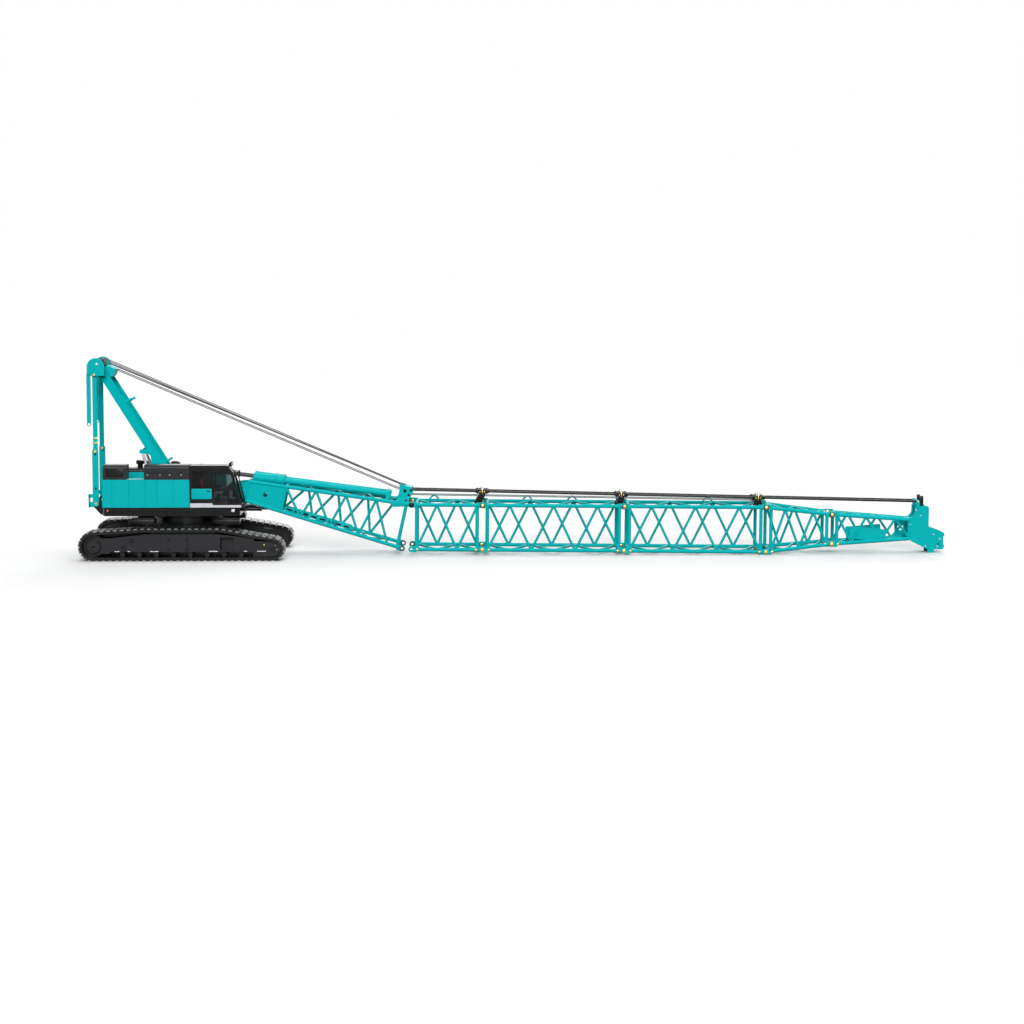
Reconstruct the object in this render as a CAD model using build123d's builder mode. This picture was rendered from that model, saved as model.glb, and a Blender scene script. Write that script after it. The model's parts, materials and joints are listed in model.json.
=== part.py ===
from build123d import *
import os
from math import asin, cos, degrees, radians, sin, sqrt, atan2

# Display model of a lattice boom crawler crane, in millimetres.
# X runs from the slewing axis to the boom tip, Z is up, and the cab is on the -Y side.

# Fits shared by all pieces
running_gap = 0.05
side_gap = 0.15
seat_gap = 0.2

# Tracks
track_gauge = 105.0
shoe_width = 24.0
shoe_count = 64
shoe_gap = 0.9
shoe_thickness = 1.2
link_thickness = 1.8
drive_x = -74.0
drive_radius = 12.5
idler_x = 76.7
idler_radius = 9.8
crown_height = 27.6
crown_length = 64.0

# Track side frames, end wheels and rollers
frame_width = 16.0
frame_bottom = 7.4
frame_top = 22.4
frame_shoulder = 19.0
frame_length = 122.0
frame_crown = 60.0
skid_width = 6.0
skid_length = 56.0
cheek_thickness = 1.8
cheek_radius = 6.5
axle_radius = 2.0
drive_cover_radius = 6.5
access_hole_x = 38.0
access_hole_length = 11.0
access_hole_height = 10.5
access_hole_z = 14.2
clamp_block_x = -3.2
clamp_block_length = 16.8
clamp_block_height = 13.0
clamp_block_reach = 1.4
roller_count = 8
roller_radius = 2.1
roller_run = 100.0

# Carbody and slewing ring
carbody_length = 68.0
carbody_width = 60.0
carbody_bottom = 10.0
carbody_top = 27.0
beam_offset = 24.0
beam_length = 17.0
beam_height = 13.0
pedestal_radius = 30.0
ring_outer = 28.0
ring_inner = 19.0
ring_height = 2.2
ring_bottom = 33.0

# Revolving deck
deck_rear = -70.0
deck_front = 47.0
deck_half_width = 35.0
deck_bottom = 35.4
deck_top = 42.7
deck_corner = 6.0
deck_skin = 3.0
deck_pocket_depth = 4.0
rear_lug_x = -77.0
rear_lug_z = 45.0
rear_lug_radius = 3.4
rear_lug_across = 19.4
rear_lug_thickness = 1.8

# Houses and hoods
house_inner = 17.0
house_top = 66.5
house_front = 4.6
house_left_front = 30.0
house_left_top = 69.0
house_edge = 1.0
seam_width = 0.4
seam_depth = 0.3
seam_places = (-61.4, -47.1, -33.0, -23.3, -9.5)
hood_top = 79.0
hood_left_top = 72.5
hood_edge = 2.6
hood_rear_length = 20.0
hood_front_start = -34.0
exhaust_x = -37.0
exhaust_across = 24.0
exhaust_radius = 3.2
exhaust_height = 6.0

# Cab
cab_rear = 5.0
cab_front = 48.4
cab_outer = 36.0
cab_floor = 42.9
cab_roof = 78.5
cab_nose_height = 3.0
cab_brow_x = 41.8
cab_brow_z = 72.5
cab_roof_front = 37.0
cab_wall = 1.2
cab_corner = 2.0
door_window_start = 7.4
door_window_end = 22.8
window_sill = 59.6
window_head = 73.8
front_window_start = 25.0
front_window_margin = 2.2
lower_window_sill = 46.6
lower_window_head = 57.8
front_glass_sill = 47.0
pillar = 1.6
glass_thickness = 0.5
glass_gap = 0.05
sill_height = 3.6
sill_reach = 1.2
sill_step_x = 24.0
sill_front_height = 2.0
seat_width = 10.0
seat_length = 9.0
seat_height = 6.0
seat_back_height = 13.0
seat_back_thickness = 2.6
seat_x = 14.0
console_x = 33.0
console_length = 5.0
console_height = 7.0

# Machinery plates and winch drums
plate_inner = 14.4
plate_thickness = 2.0
plate_rear = -62.0
plate_front = 22.0
plate_low = 58.0
drum_front_x = 12.0
drum_rear_x = -44.0
drum_z = 51.6
drum_radius = 5.4
drum_flange_radius = 7.6
drum_flange_thickness = 1.4
drum_half_length = 13.6
drum_shaft_radius = 1.6
stop_shaft_x = 7.2
stop_shaft_z = 73.4
stop_shaft_radius = 1.5

# Gantry
mast_foot_x = -17.0
mast_foot_z = 70.0
mast_head_x = -71.0
mast_head_z = 156.5
mast_leg_across = 12.0
mast_leg_width = 4.0
mast_leg_depth = 7.4
mast_foot_radius = 4.6
mast_pin_radius = 1.6
mast_tie_radius = 1.6
mast_tie_places = (0.3, 0.55, 0.8)
mast_plate_start = 0.07
mast_plate_end = 0.62
mast_plate_thickness = 1.0
mast_gusset_rise = 20.0
mast_gusset_reach = 13.0
mast_gusset_low = 7.0
mast_step_share = 0.69
mast_step_length = 9.0
mast_step_radius = 1.0
mast_ear_share = 0.09
mast_ear_length = 8.0
anchor_box_x = -65.1
anchor_box_z = 158.0
anchor_box_length = 8.4
anchor_box_height = 6.6
anchor_box_tilt = 23.0
anchor_arm_radius = 3.0
anchor_arm_thickness = 1.2
head_tube_radius = 2.2
head_plate_inner = 21.6
head_plate_thickness = 2.0
head_plate_radius = 7.4
head_plate_x = -75.5
head_plate_z = 162.0
sheave_x = -74.5
sheave_z = 164.2
sheave_radius = 4.6
sheave_root = 3.4
sheave_count = 5
sheave_pitch = 3.2
sheave_shaft_radius = 1.4
link_top_z = 155.5
link_mid_z = 90.0
link_width = 3.8
link_lower_width = 5.2
link_thickness_across = 1.4
link_pin_radius = 1.1
hanging_pin_x = -81.4
hanging_pin_z = 156.0
hanging_length = 43.0
hanging_width = 3.4
hanging_thickness = 1.4
cylinder_low_x = -27.0
cylinder_low_z = 57.0
cylinder_high_x = -38.5
cylinder_high_z = 89.0
cylinder_radius = 2.2
cylinder_rod_radius = 1.2
cylinder_share = 0.5
cylinder_eye_radius = 2.0

# Boom
foot_x = 40.0
foot_z = 57.6
base_slope = 12.4
base_length = 152.4
boom_depth = 38.4
boom_width = 44.0
foot_depth = 15.0
foot_width = 26.0
foot_eye_radius = 5.0
foot_eye_width = 4.0
foot_pin_radius = 2.0
foot_lug_thickness = 3.0
foot_lug_length = 18.0
foot_lug_seat = 1.0
foot_plate_length = 44.0
foot_plate_thickness = 1.6
foot_plate_nose = 4.0
foot_plate_hole = 1.9
foot_plate_hole_along = 28.0
foot_post = 12.5
chord_radius = 1.6
post_radius = 1.45
lacing_radius = 1.1
lacing_sides = 6
base_bays = 4
base_bay_rise = 0.66
short_insert_length = 61.0
long_insert_length = 122.0
lacing_pitch = 20.3
taper_length = 58.0
taper_depth = 25.6
taper_width = 28.0
taper_bays = 4
head_length = 68.5
head_depth = 16.4
head_width = 16.0
head_bays = 5
lug_radius = 2.4
lug_pin_radius = 1.2
tongue_thickness = 2.0
ear_thickness = 1.0
lug_reach = 4.6
collar_start = 2.9
collar_end = 4.8
collar_radius = 2.1
post_inset = 4.4

# Boom head
head_plate_half = 8.0
head_side_thickness = 2.0
head_arm_rise = 20.3
head_arm_start = 4.2
head_arm_end = 16.4
head_step_x = 29.4
head_step_up = -2.5
head_shelf_up = 2.2
head_low = -17.3
head_foot_x = 18.6
head_foot_length = 5.6
head_shaft_x = 17.0
head_shaft_up = -7.5
head_shaft_radius = 2.0
head_sheave_radius = 8.0
head_sheave_root = 6.6
head_sheave_count = 3
head_sheave_pitch = 4.0
head_arm_corner = 2.0
head_arm_sweep = 6.0
head_boss_radius = 2.0
head_boss_ups = (-4.4, -14.4)
panel_start = 379.0
panel_end = 409.5
panel_low = -28.6
panel_high = -17.9
panel_thickness = 0.8
window_plate_length = 10.5
window_plate_hole = 2.6
jib_hole_x = 25.2
jib_hole_up = -13.0
jib_hole_radius = 1.2

# Boom backstops
stop_across = 8.0
stop_along = 131.0
stop_up = 23.2
stop_eye_radius = 2.6
stop_tube_radius = 2.2
stop_tube_length = 90.0
stop_barrel_radius = 3.7
stop_barrel_length = 27.0
stop_rod_radius = 1.1
stop_bore_depth = 60.0
stop_rod_engaged = 14.0
stop_pad_radius = 2.0
stop_pad_thickness = 1.2
stop_pad_gap = 0.6
stop_bracket_thickness = 1.4
stop_pin_radius = 1.0
stop_tie_radius = 1.3
stop_eye_half = 1.7

# Pendants, spreader and hoist ropes
spreader_pin_x = 192.4
spreader_pin_z = 55.3
spreader_shaft_x = 187.0
spreader_shaft_z = 54.8
spreader_sheave_radius = 2.8
spreader_sheave_root = 2.0
spreader_wall = 1.6
spreader_corners = (
    (182.3, 60.6), (193.1, 57.6), (194.4, 54.1), (190.9, 47.2), (180.1, 47.0), (182.3, 55.0),
)
spreader_cover_length = 5.6
spreader_cover_thickness = 0.8
pendant_pin_along = 438.0
pendant_pin_up = 5.0
pendant_across = 8.0
pendant_radius = 0.9
pendant_eye_radius = 1.5
pendant_eye_width = 1.8
pendant_pin_radius = 0.8
pendant_joint_shifts = (-0.2, -2.0, -5.4)
pendant_joint_length = 7.0
pendant_joint_size = 3.2
rope_radius = 0.4
rope_layers = ((0.0, 5.2, 1.8, 3.4), (7.0, 3.2, 1.8, 3.4), (15.6, 0.8, 3.6, -1.0))
rope_across = (6.4, 3.2, 6.4)
rest_foot_radius = 2.6
rest_head_length = 5.0
rest_head_height = 1.4
rest_thickness = 2.4

# Places worked out from the sizes above
track_across = track_gauge / 2
track_ends = ((-1, drive_x, drive_radius), (1, idler_x, idler_radius))
wheel_inset = shoe_thickness + link_thickness + seat_gap
wheel_width = frame_width - 2 * cheek_thickness - 2 * side_gap
inner_floor = shoe_thickness + link_thickness
inner_crown = crown_height - shoe_thickness - link_thickness
base_turn = radians(base_slope)
base_frame = Plane(
    origin=(foot_x, 0, foot_z),
    x_dir=(cos(base_turn), 0, -sin(base_turn)),
    z_dir=(sin(base_turn), 0, cos(base_turn)),
)
knuckle = base_frame.from_local_coords(Vector(base_length, 0, boom_depth / 2))
rest_along = short_insert_length + 2 * long_insert_length
outer_turn = asin((knuckle.Z - boom_depth - lug_radius) / rest_along)
outer_frame = Plane(
    origin=knuckle,
    x_dir=(cos(outer_turn), 0, -sin(outer_turn)),
    z_dir=(sin(outer_turn), 0, cos(outer_turn)),
)
taper_end = rest_along + taper_length
head_start = taper_end + head_length
ear_offset = tongue_thickness / 2 + side_gap + ear_thickness / 2
lug_half = ear_offset + ear_thickness / 2
mast_turn = atan2(mast_head_z - mast_foot_z, mast_head_x - mast_foot_x)
mast_length = sqrt((mast_head_x - mast_foot_x) ** 2 + (mast_head_z - mast_foot_z) ** 2)


def side_plane(across):
    # Upright plane at one distance across the machine, drawn with X and Z
    return Plane(origin=(0, across, 0), x_dir=(1, 0, 0), z_dir=(0, -1, 0))


def boom_point(frame, along, across, up):
    # A point given on the boom's own axes
    return frame.from_local_coords(Vector(along, across, up))


def boom_side(frame, along, across, up):
    # Upright plane on the boom's own axes
    return Plane(
        origin=boom_point(frame, along, across, up), x_dir=frame.x_dir, z_dir=-frame.y_dir
    )


def bar(start, end, radius, sides=0):
    # Straight bar between two points, round or with flat sides
    span = end - start
    with BuildSketch(Plane(origin=start, z_dir=span)) as section:
        if sides:
            RegularPolygon(radius, sides)
        else:
            Circle(radius)
    return extrude(section.sketch, amount=span.length, mode=Mode.PRIVATE)


def write(piece, label):
    # Names a finished piece and writes its file
    piece.part.label = label
    export_step(piece.part, f"parts/{label}.step")


os.makedirs("parts", exist_ok=True)

# Track loops with their shoes
crown_z = crown_height - shoe_thickness
crown_half = crown_length / 2


def crown_tangent(side, end_x, radius):
    # Point where the sloping upper run meets the round end of a loop
    run = side * end_x - crown_half
    drop = crown_z - radius
    band_radius = radius - shoe_thickness
    reach = sqrt(run**2 + drop**2 - band_radius**2)
    turn = atan2(drop, run) - atan2(band_radius, reach)
    return (side * (crown_half + reach * cos(turn)), crown_z - reach * sin(turn))


drive_tangent, idler_tangent = (crown_tangent(*end) for end in track_ends)
with BuildLine() as track_path:
    Line((drive_x, shoe_thickness), (idler_x, shoe_thickness))
    ThreePointArc(
        (idler_x, shoe_thickness),
        (idler_x + idler_radius - shoe_thickness, idler_radius),
        idler_tangent,
    )
    Polyline(idler_tangent, (crown_half, crown_z), (-crown_half, crown_z), drive_tangent)
    ThreePointArc(
        drive_tangent,
        (drive_x - drive_radius + shoe_thickness, drive_radius),
        (drive_x, shoe_thickness),
    )
track_wire = track_path.wires()[0]
shoe_pitch = track_wire.length / shoe_count
shoe_places = []
for index in range(shoe_count):
    distance = (index + 0.5) * shoe_pitch
    point = track_wire.position_at(distance, position_mode=PositionMode.LENGTH)
    heading = track_wire.tangent_at(distance, position_mode=PositionMode.LENGTH)
    shoe_places.append(Location((point.X, point.Y), degrees(atan2(heading.Y, heading.X))))
for side, across in (("right", -track_across), ("left", track_across)):
    with BuildPart() as track:
        with BuildSketch(side_plane(across)) as loop:
            add(track_path.line)
            make_face()
            offset(amount=-link_thickness, mode=Mode.SUBTRACT)
            with Locations(*shoe_places):
                with Locations((0, link_thickness / 2)):
                    Rectangle(
                        shoe_pitch - shoe_gap,
                        shoe_thickness + link_thickness / 2,
                        align=(Align.CENTER, Align.MAX),
                    )
        extrude(amount=shoe_width / 2, both=True)
    write(track, f"track_{side}")

# Side frames inside the loops
for side, across, outward in (("right", -track_across, -1), ("left", track_across, 1)):
    outer_face = across + outward * frame_width / 2
    with BuildPart() as track_frame:
        with BuildSketch(side_plane(across)):
            with BuildLine():
                Polyline(
                    (-frame_length / 2, frame_bottom),
                    (frame_length / 2, frame_bottom),
                    (frame_length / 2, frame_shoulder),
                    (frame_crown / 2, frame_top),
                    (-frame_crown / 2, frame_top),
                    (-frame_length / 2, frame_shoulder),
                    close=True,
                )
            make_face()
            for end, end_x, radius in track_ends:
                with BuildSketch(mode=Mode.ADD):
                    with Locations((end_x, radius)):
                        Circle(cheek_radius)
                    with Locations((end * frame_length / 2, radius)):
                        Rectangle(cheek_thickness, 2 * cheek_radius)
                    make_hull()
        extrude(amount=frame_width / 2, both=True)
        for end, end_x, radius in track_ends:
            with BuildSketch(side_plane(across)):
                with Locations((end_x, radius)):
                    Circle(radius - wheel_inset + side_gap)
            extrude(amount=frame_width / 2 - cheek_thickness, both=True, mode=Mode.SUBTRACT)
            with BuildSketch(side_plane(across)):
                with Locations((end_x, radius)):
                    Circle(axle_radius + running_gap)
            extrude(amount=frame_width, both=True, mode=Mode.SUBTRACT)
        with BuildSketch(side_plane(across)):
            with Locations((0, (frame_top + inner_crown - seat_gap) / 2)):
                Rectangle(skid_length, inner_crown - seat_gap - frame_top)
        extrude(amount=skid_width / 2, both=True)
        with BuildSketch(side_plane(outer_face)):
            with Locations((access_hole_x, access_hole_z)):
                Rectangle(access_hole_length, access_hole_height)
        extrude(amount=outward * frame_width / 2, mode=Mode.SUBTRACT)
        with BuildSketch(side_plane(outer_face)):
            with Locations((clamp_block_x, frame_bottom + clamp_block_height / 2)):
                Rectangle(clamp_block_length, clamp_block_height)
            with Locations((drive_x, drive_radius)):
                Circle(drive_cover_radius)
        extrude(amount=-outward * clamp_block_reach)
    write(track_frame, f"track_frame_{side}")

# Drive and idler wheels on their axles
with BuildPart() as end_wheels:
    for across in (-track_across, track_across):
        for end, end_x, radius in track_ends:
            with BuildSketch(side_plane(across)) as wheel:
                with Locations((end_x, radius)):
                    Circle(radius - wheel_inset)
            extrude(amount=wheel_width / 2, both=True)
            with BuildSketch(side_plane(across)) as axle:
                with Locations((end_x, radius)):
                    Circle(axle_radius)
            extrude(amount=frame_width / 2, both=True)
write(end_wheels, "end_wheels")

# Bottom rollers under the side frames
with BuildPart() as track_rollers:
    for across in (-track_across, track_across):
        with BuildSketch(side_plane(across)):
            with Locations((0, inner_floor + (frame_bottom - inner_floor) / 2)):
                with GridLocations(roller_run / (roller_count - 1), 0, roller_count, 1):
                    Circle(roller_radius)
        extrude(amount=wheel_width / 2, both=True)
write(track_rollers, "track_rollers")

# Carbody between the tracks
frame_inner = track_across - frame_width / 2
with BuildPart() as carbody:
    with BuildSketch(Plane.XY.offset(carbody_bottom)):
        RectangleRounded(carbody_length, carbody_width, deck_corner)
    extrude(amount=carbody_top - carbody_bottom)
    with BuildSketch(Plane.XY.offset(carbody_bottom)):
        with GridLocations(2 * beam_offset, 0, 2, 1):
            Rectangle(beam_length, 2 * frame_inner)
    extrude(amount=beam_height)
    with BuildSketch(Plane.XY.offset(carbody_top)):
        Circle(pedestal_radius)
    extrude(amount=ring_bottom - carbody_top)
write(carbody, "carbody")

# Slewing ring
with BuildPart() as slew_ring:
    with BuildSketch(Plane.XY.offset(ring_bottom)):
        Circle(ring_outer)
        Circle(ring_inner, mode=Mode.SUBTRACT)
    extrude(amount=ring_height)
write(slew_ring, "slew_ring")

# Revolving deck with the boom foot lugs and the rear link lugs
foot_lug_across = foot_width / 2 - foot_eye_width / 2 - side_gap - foot_lug_thickness / 2
with BuildPart() as deck_frame:
    with BuildSketch(Plane.XY.offset(deck_bottom)):
        with Locations(((deck_rear + deck_front) / 2, 0)):
            RectangleRounded(deck_front - deck_rear, 2 * deck_half_width, deck_corner)
    extrude(amount=deck_top - deck_bottom)
    with BuildSketch(Plane.XY.offset(deck_bottom)):
        with Locations(((deck_rear + deck_front) / 2, 0)):
            RectangleRounded(
                deck_front - deck_rear - 2 * deck_skin, 2 * (deck_half_width - deck_skin), deck_skin
            )
        Circle(pedestal_radius, mode=Mode.SUBTRACT)
    extrude(amount=deck_pocket_depth, mode=Mode.SUBTRACT)
    for across in (-foot_lug_across, foot_lug_across):
        with BuildSketch(side_plane(across)):
            with Locations((foot_x, foot_z)):
                Circle(foot_eye_radius)
            with Locations((foot_x, deck_top)):
                Rectangle(foot_lug_length, foot_lug_seat)
            make_hull()
            with Locations((foot_x, foot_z)):
                Circle(foot_pin_radius + running_gap, mode=Mode.SUBTRACT)
        extrude(amount=foot_lug_thickness / 2, both=True)
    for across in (-rear_lug_across, rear_lug_across):
        with BuildSketch(side_plane(across)):
            with Locations((rear_lug_x, rear_lug_z)):
                Circle(rear_lug_radius)
            with Locations((deck_rear, (deck_bottom + deck_top) / 2)):
                Rectangle(deck_skin, deck_top - deck_bottom, align=(Align.MAX, Align.CENTER))
            make_hull()
            with Locations((rear_lug_x, rear_lug_z)):
                Circle(link_pin_radius + running_gap, mode=Mode.SUBTRACT)
        extrude(amount=rear_lug_thickness / 2, both=True)
write(deck_frame, "deck_frame")

# Machinery houses with panel seams on their outer faces
for side, outward, front, top in (
    ("right", -1, house_front, house_top),
    ("left", 1, house_left_front, house_left_top),
):
    with BuildPart() as house:
        with BuildSketch(Plane.XY.offset(deck_top)):
            with Locations(((deck_rear + front) / 2, outward * (deck_half_width + house_inner) / 2)):
                RectangleRounded(front - deck_rear, deck_half_width - house_inner, house_edge)
        extrude(amount=top - deck_top)
        with BuildSketch(side_plane(outward * deck_half_width)):
            for place in seam_places:
                with Locations((place, (deck_top + top) / 2)):
                    Rectangle(seam_width, top - deck_top)
        extrude(amount=seam_depth, both=True, mode=Mode.SUBTRACT)
    write(house, f"house_{side}")

# Hoods on top of the houses
hood_middle = (deck_half_width + house_inner) / 2
hood_width = deck_half_width - house_inner
hood_rear_start = deck_rear + house_edge
for label, start, end, across, low, high in (
    ("hood_rear", hood_rear_start, hood_rear_start + hood_rear_length, -hood_middle, house_top, hood_top),
    ("hood_front", hood_front_start, house_front, -hood_middle, house_top, hood_top),
    ("hood_left", hood_rear_start, house_left_front, hood_middle, house_left_top, hood_left_top),
):
    with BuildPart() as hood:
        with BuildSketch(Plane.XY.offset(low)):
            with Locations(((start + end) / 2, across)):
                Rectangle(end - start, hood_width)
        extrude(amount=high - low)
        outer_top = hood.edges().filter_by(Axis.X).group_by(Axis.Z)[-1]
        fillet(outer_top, hood_edge)
    write(hood, label)

# Exhaust on the left hood
with BuildPart() as exhaust:
    with BuildSketch(Plane.XY.offset(hood_left_top)):
        with Locations((exhaust_x, exhaust_across)):
            Circle(exhaust_radius)
    extrude(amount=exhaust_height)
    fillet(exhaust.edges().group_by(Axis.Z)[-1], exhaust_radius / 2)
write(exhaust, "exhaust")

# Cab shell, hollow, with its windows cut
cab_across = -(cab_outer + house_inner) / 2
cab_half = (cab_outer - house_inner) / 2
cab_corners = (
    (cab_rear, cab_floor),
    (cab_front, cab_floor),
    (cab_front, cab_floor + cab_nose_height),
    (cab_brow_x, cab_brow_z),
    (cab_roof_front, cab_roof),
    (cab_rear, cab_roof),
)
front_lean = (cab_front - cab_brow_x) / (cab_brow_z - cab_floor - cab_nose_height)


def cab_front_at(height):
    # Distance forward of the sloping windscreen at one height
    return cab_brow_x + (cab_brow_z - height) * front_lean


door_window = (
    (door_window_start, window_sill),
    (door_window_end, window_sill),
    (door_window_end, window_head),
    (door_window_start, window_head),
)
front_window = (
    (front_window_start, window_sill),
    (cab_front_at(window_sill) - front_window_margin, window_sill),
    (cab_front_at(cab_brow_z) - front_window_margin, cab_brow_z - cab_wall),
    (front_window_start, cab_brow_z),
)
lower_window = (
    (front_window_start, lower_window_sill),
    (cab_front_at(lower_window_sill) - front_window_margin, lower_window_sill),
    (cab_front_at(lower_window_head) - front_window_margin, lower_window_head),
    (front_window_start, lower_window_head),
)
with BuildPart() as cab_shell:
    with BuildSketch(side_plane(cab_across)) as cab_outline:
        with BuildLine():
            Polyline(*cab_corners, close=True)
        make_face()
        fillet(cab_outline.vertices().sort_by(Axis.Z)[-3:], cab_corner)
    extrude(amount=cab_half, both=True)
    with BuildSketch(side_plane(cab_across)):
        add(cab_outline.sketch_local)
        offset(amount=-cab_wall, mode=Mode.REPLACE)
    extrude(amount=cab_half - cab_wall, both=True, mode=Mode.SUBTRACT)
    with BuildSketch(side_plane(cab_across)):
        for window in (door_window, front_window, lower_window):
            with BuildLine():
                Polyline(*window, close=True)
            make_face()
    extrude(amount=cab_half, both=True, mode=Mode.SUBTRACT)
    with BuildSketch(Plane.YZ.offset(cab_brow_x - 2 * cab_wall)):
        with Locations((cab_across, (front_glass_sill + cab_brow_z) / 2)):
            Rectangle(2 * (cab_half - pillar), cab_brow_z - front_glass_sill)
    extrude(amount=cab_front, mode=Mode.SUBTRACT)
write(cab_shell, "cab_shell")

# Cab glass, set in the windows
with BuildPart() as cab_glass:
    for inner in (-1, 1):
        with BuildSketch(side_plane(cab_across + inner * (cab_half - cab_wall / 2))):
            for window in (door_window, front_window, lower_window):
                with BuildLine():
                    Polyline(*window, close=True)
                make_face()
            offset(amount=-glass_gap, mode=Mode.REPLACE)
        extrude(amount=glass_thickness / 2, both=True)
    with BuildSketch(side_plane(cab_across)):
        with BuildLine():
            Polyline(
                (cab_front_at(front_glass_sill) - cab_wall, front_glass_sill + glass_gap),
                (cab_front_at(front_glass_sill) - cab_wall + glass_thickness, front_glass_sill + glass_gap),
                (cab_front_at(cab_brow_z) - cab_wall + glass_thickness, cab_brow_z - glass_gap),
                (cab_front_at(cab_brow_z) - cab_wall, cab_brow_z - glass_gap),
                close=True,
            )
        make_face()
    extrude(amount=cab_half - pillar - glass_gap, both=True)
write(cab_glass, "cab_glass")

# Seat and control console on the cab floor
with BuildPart() as cab_seat:
    with BuildSketch(side_plane(cab_across)):
        with Locations((seat_x, cab_floor + cab_wall)):
            Rectangle(seat_length, seat_height, align=(Align.CENTER, Align.MIN))
        with Locations((seat_x - seat_length / 2, cab_floor + cab_wall)):
            Rectangle(seat_back_thickness, seat_back_height, align=(Align.CENTER, Align.MIN))
        with Locations((console_x, cab_floor + cab_wall)):
            Rectangle(console_length, console_height, align=(Align.CENTER, Align.MIN))
    extrude(amount=seat_width / 2, both=True)
write(cab_seat, "cab_seat")

# Bright sill along the foot of the cab
with BuildPart() as cab_sill:
    with BuildSketch(side_plane(-cab_outer)):
        with Locations((cab_rear, cab_floor)):
            Rectangle(sill_step_x - cab_rear, sill_height, align=Align.MIN)
            Rectangle(cab_front - cab_rear, sill_front_height, align=Align.MIN)
    extrude(amount=sill_reach)
write(cab_sill, "cab_sill")

# Machinery plates that carry the drums, the mast foot and the backstop shaft
with BuildPart() as machinery_frame:
    for side in (-1, 1):
        with BuildSketch(side_plane(side * (plate_inner + plate_thickness / 2))):
            with BuildLine():
                Polyline(
                    (plate_rear, deck_top),
                    (plate_front, deck_top),
                    (plate_front, drum_z),
                    (stop_shaft_x + 2 * stop_shaft_radius, stop_shaft_z + 2 * stop_shaft_radius),
                    (mast_foot_x + mast_foot_radius, mast_foot_z + mast_foot_radius),
                    (mast_foot_x - mast_foot_radius, mast_foot_z + mast_foot_radius),
                    (cylinder_low_x - 2 * cylinder_eye_radius, plate_low + cylinder_eye_radius),
                    (plate_rear, plate_low),
                    close=True,
                )
            make_face()
            with Locations((drum_front_x, drum_z), (drum_rear_x, drum_z)):
                Circle(drum_shaft_radius + running_gap, mode=Mode.SUBTRACT)
        extrude(amount=plate_thickness / 2, both=True)
        with BuildSketch(side_plane(side * (plate_inner - mast_leg_width / 2))):
            with Locations((mast_foot_x, mast_foot_z)):
                Circle(mast_pin_radius)
        extrude(amount=mast_leg_width / 2 + plate_thickness / 2, both=True)
    with BuildSketch(side_plane(0)):
        with Locations((stop_shaft_x, stop_shaft_z)):
            Circle(stop_shaft_radius)
    extrude(amount=plate_inner + plate_thickness, both=True)
write(machinery_frame, "machinery_frame")

# Winch drums
for label, place in (("drum_front", drum_front_x), ("drum_rear", drum_rear_x)):
    with BuildPart() as drum:
        with BuildSketch(side_plane(0)):
            with Locations((place, drum_z)):
                Circle(drum_radius)
        extrude(amount=drum_half_length, both=True)
        for side in (-1, 1):
            with BuildSketch(side_plane(side * (drum_half_length - drum_flange_thickness / 2))):
                with Locations((place, drum_z)):
                    Circle(drum_flange_radius)
            extrude(amount=drum_flange_thickness / 2, both=True)
        with BuildSketch(side_plane(0)):
            with Locations((place, drum_z)):
                Circle(drum_shaft_radius)
        extrude(amount=plate_inner + plate_thickness, both=True)
    write(drum, label)

# Gantry mast: two legs, their ties and the ears of the raising cylinders
mast_middle = ((mast_foot_x + mast_head_x) / 2, (mast_foot_z + mast_head_z) / 2)


def mast_frame_point(share, out):
    # A point at one share of the mast's length, moved out towards its front face
    return (
        mast_foot_x + share * (mast_head_x - mast_foot_x) + out * sin(mast_turn),
        mast_foot_z + share * (mast_head_z - mast_foot_z) - out * cos(mast_turn),
    )


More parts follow.
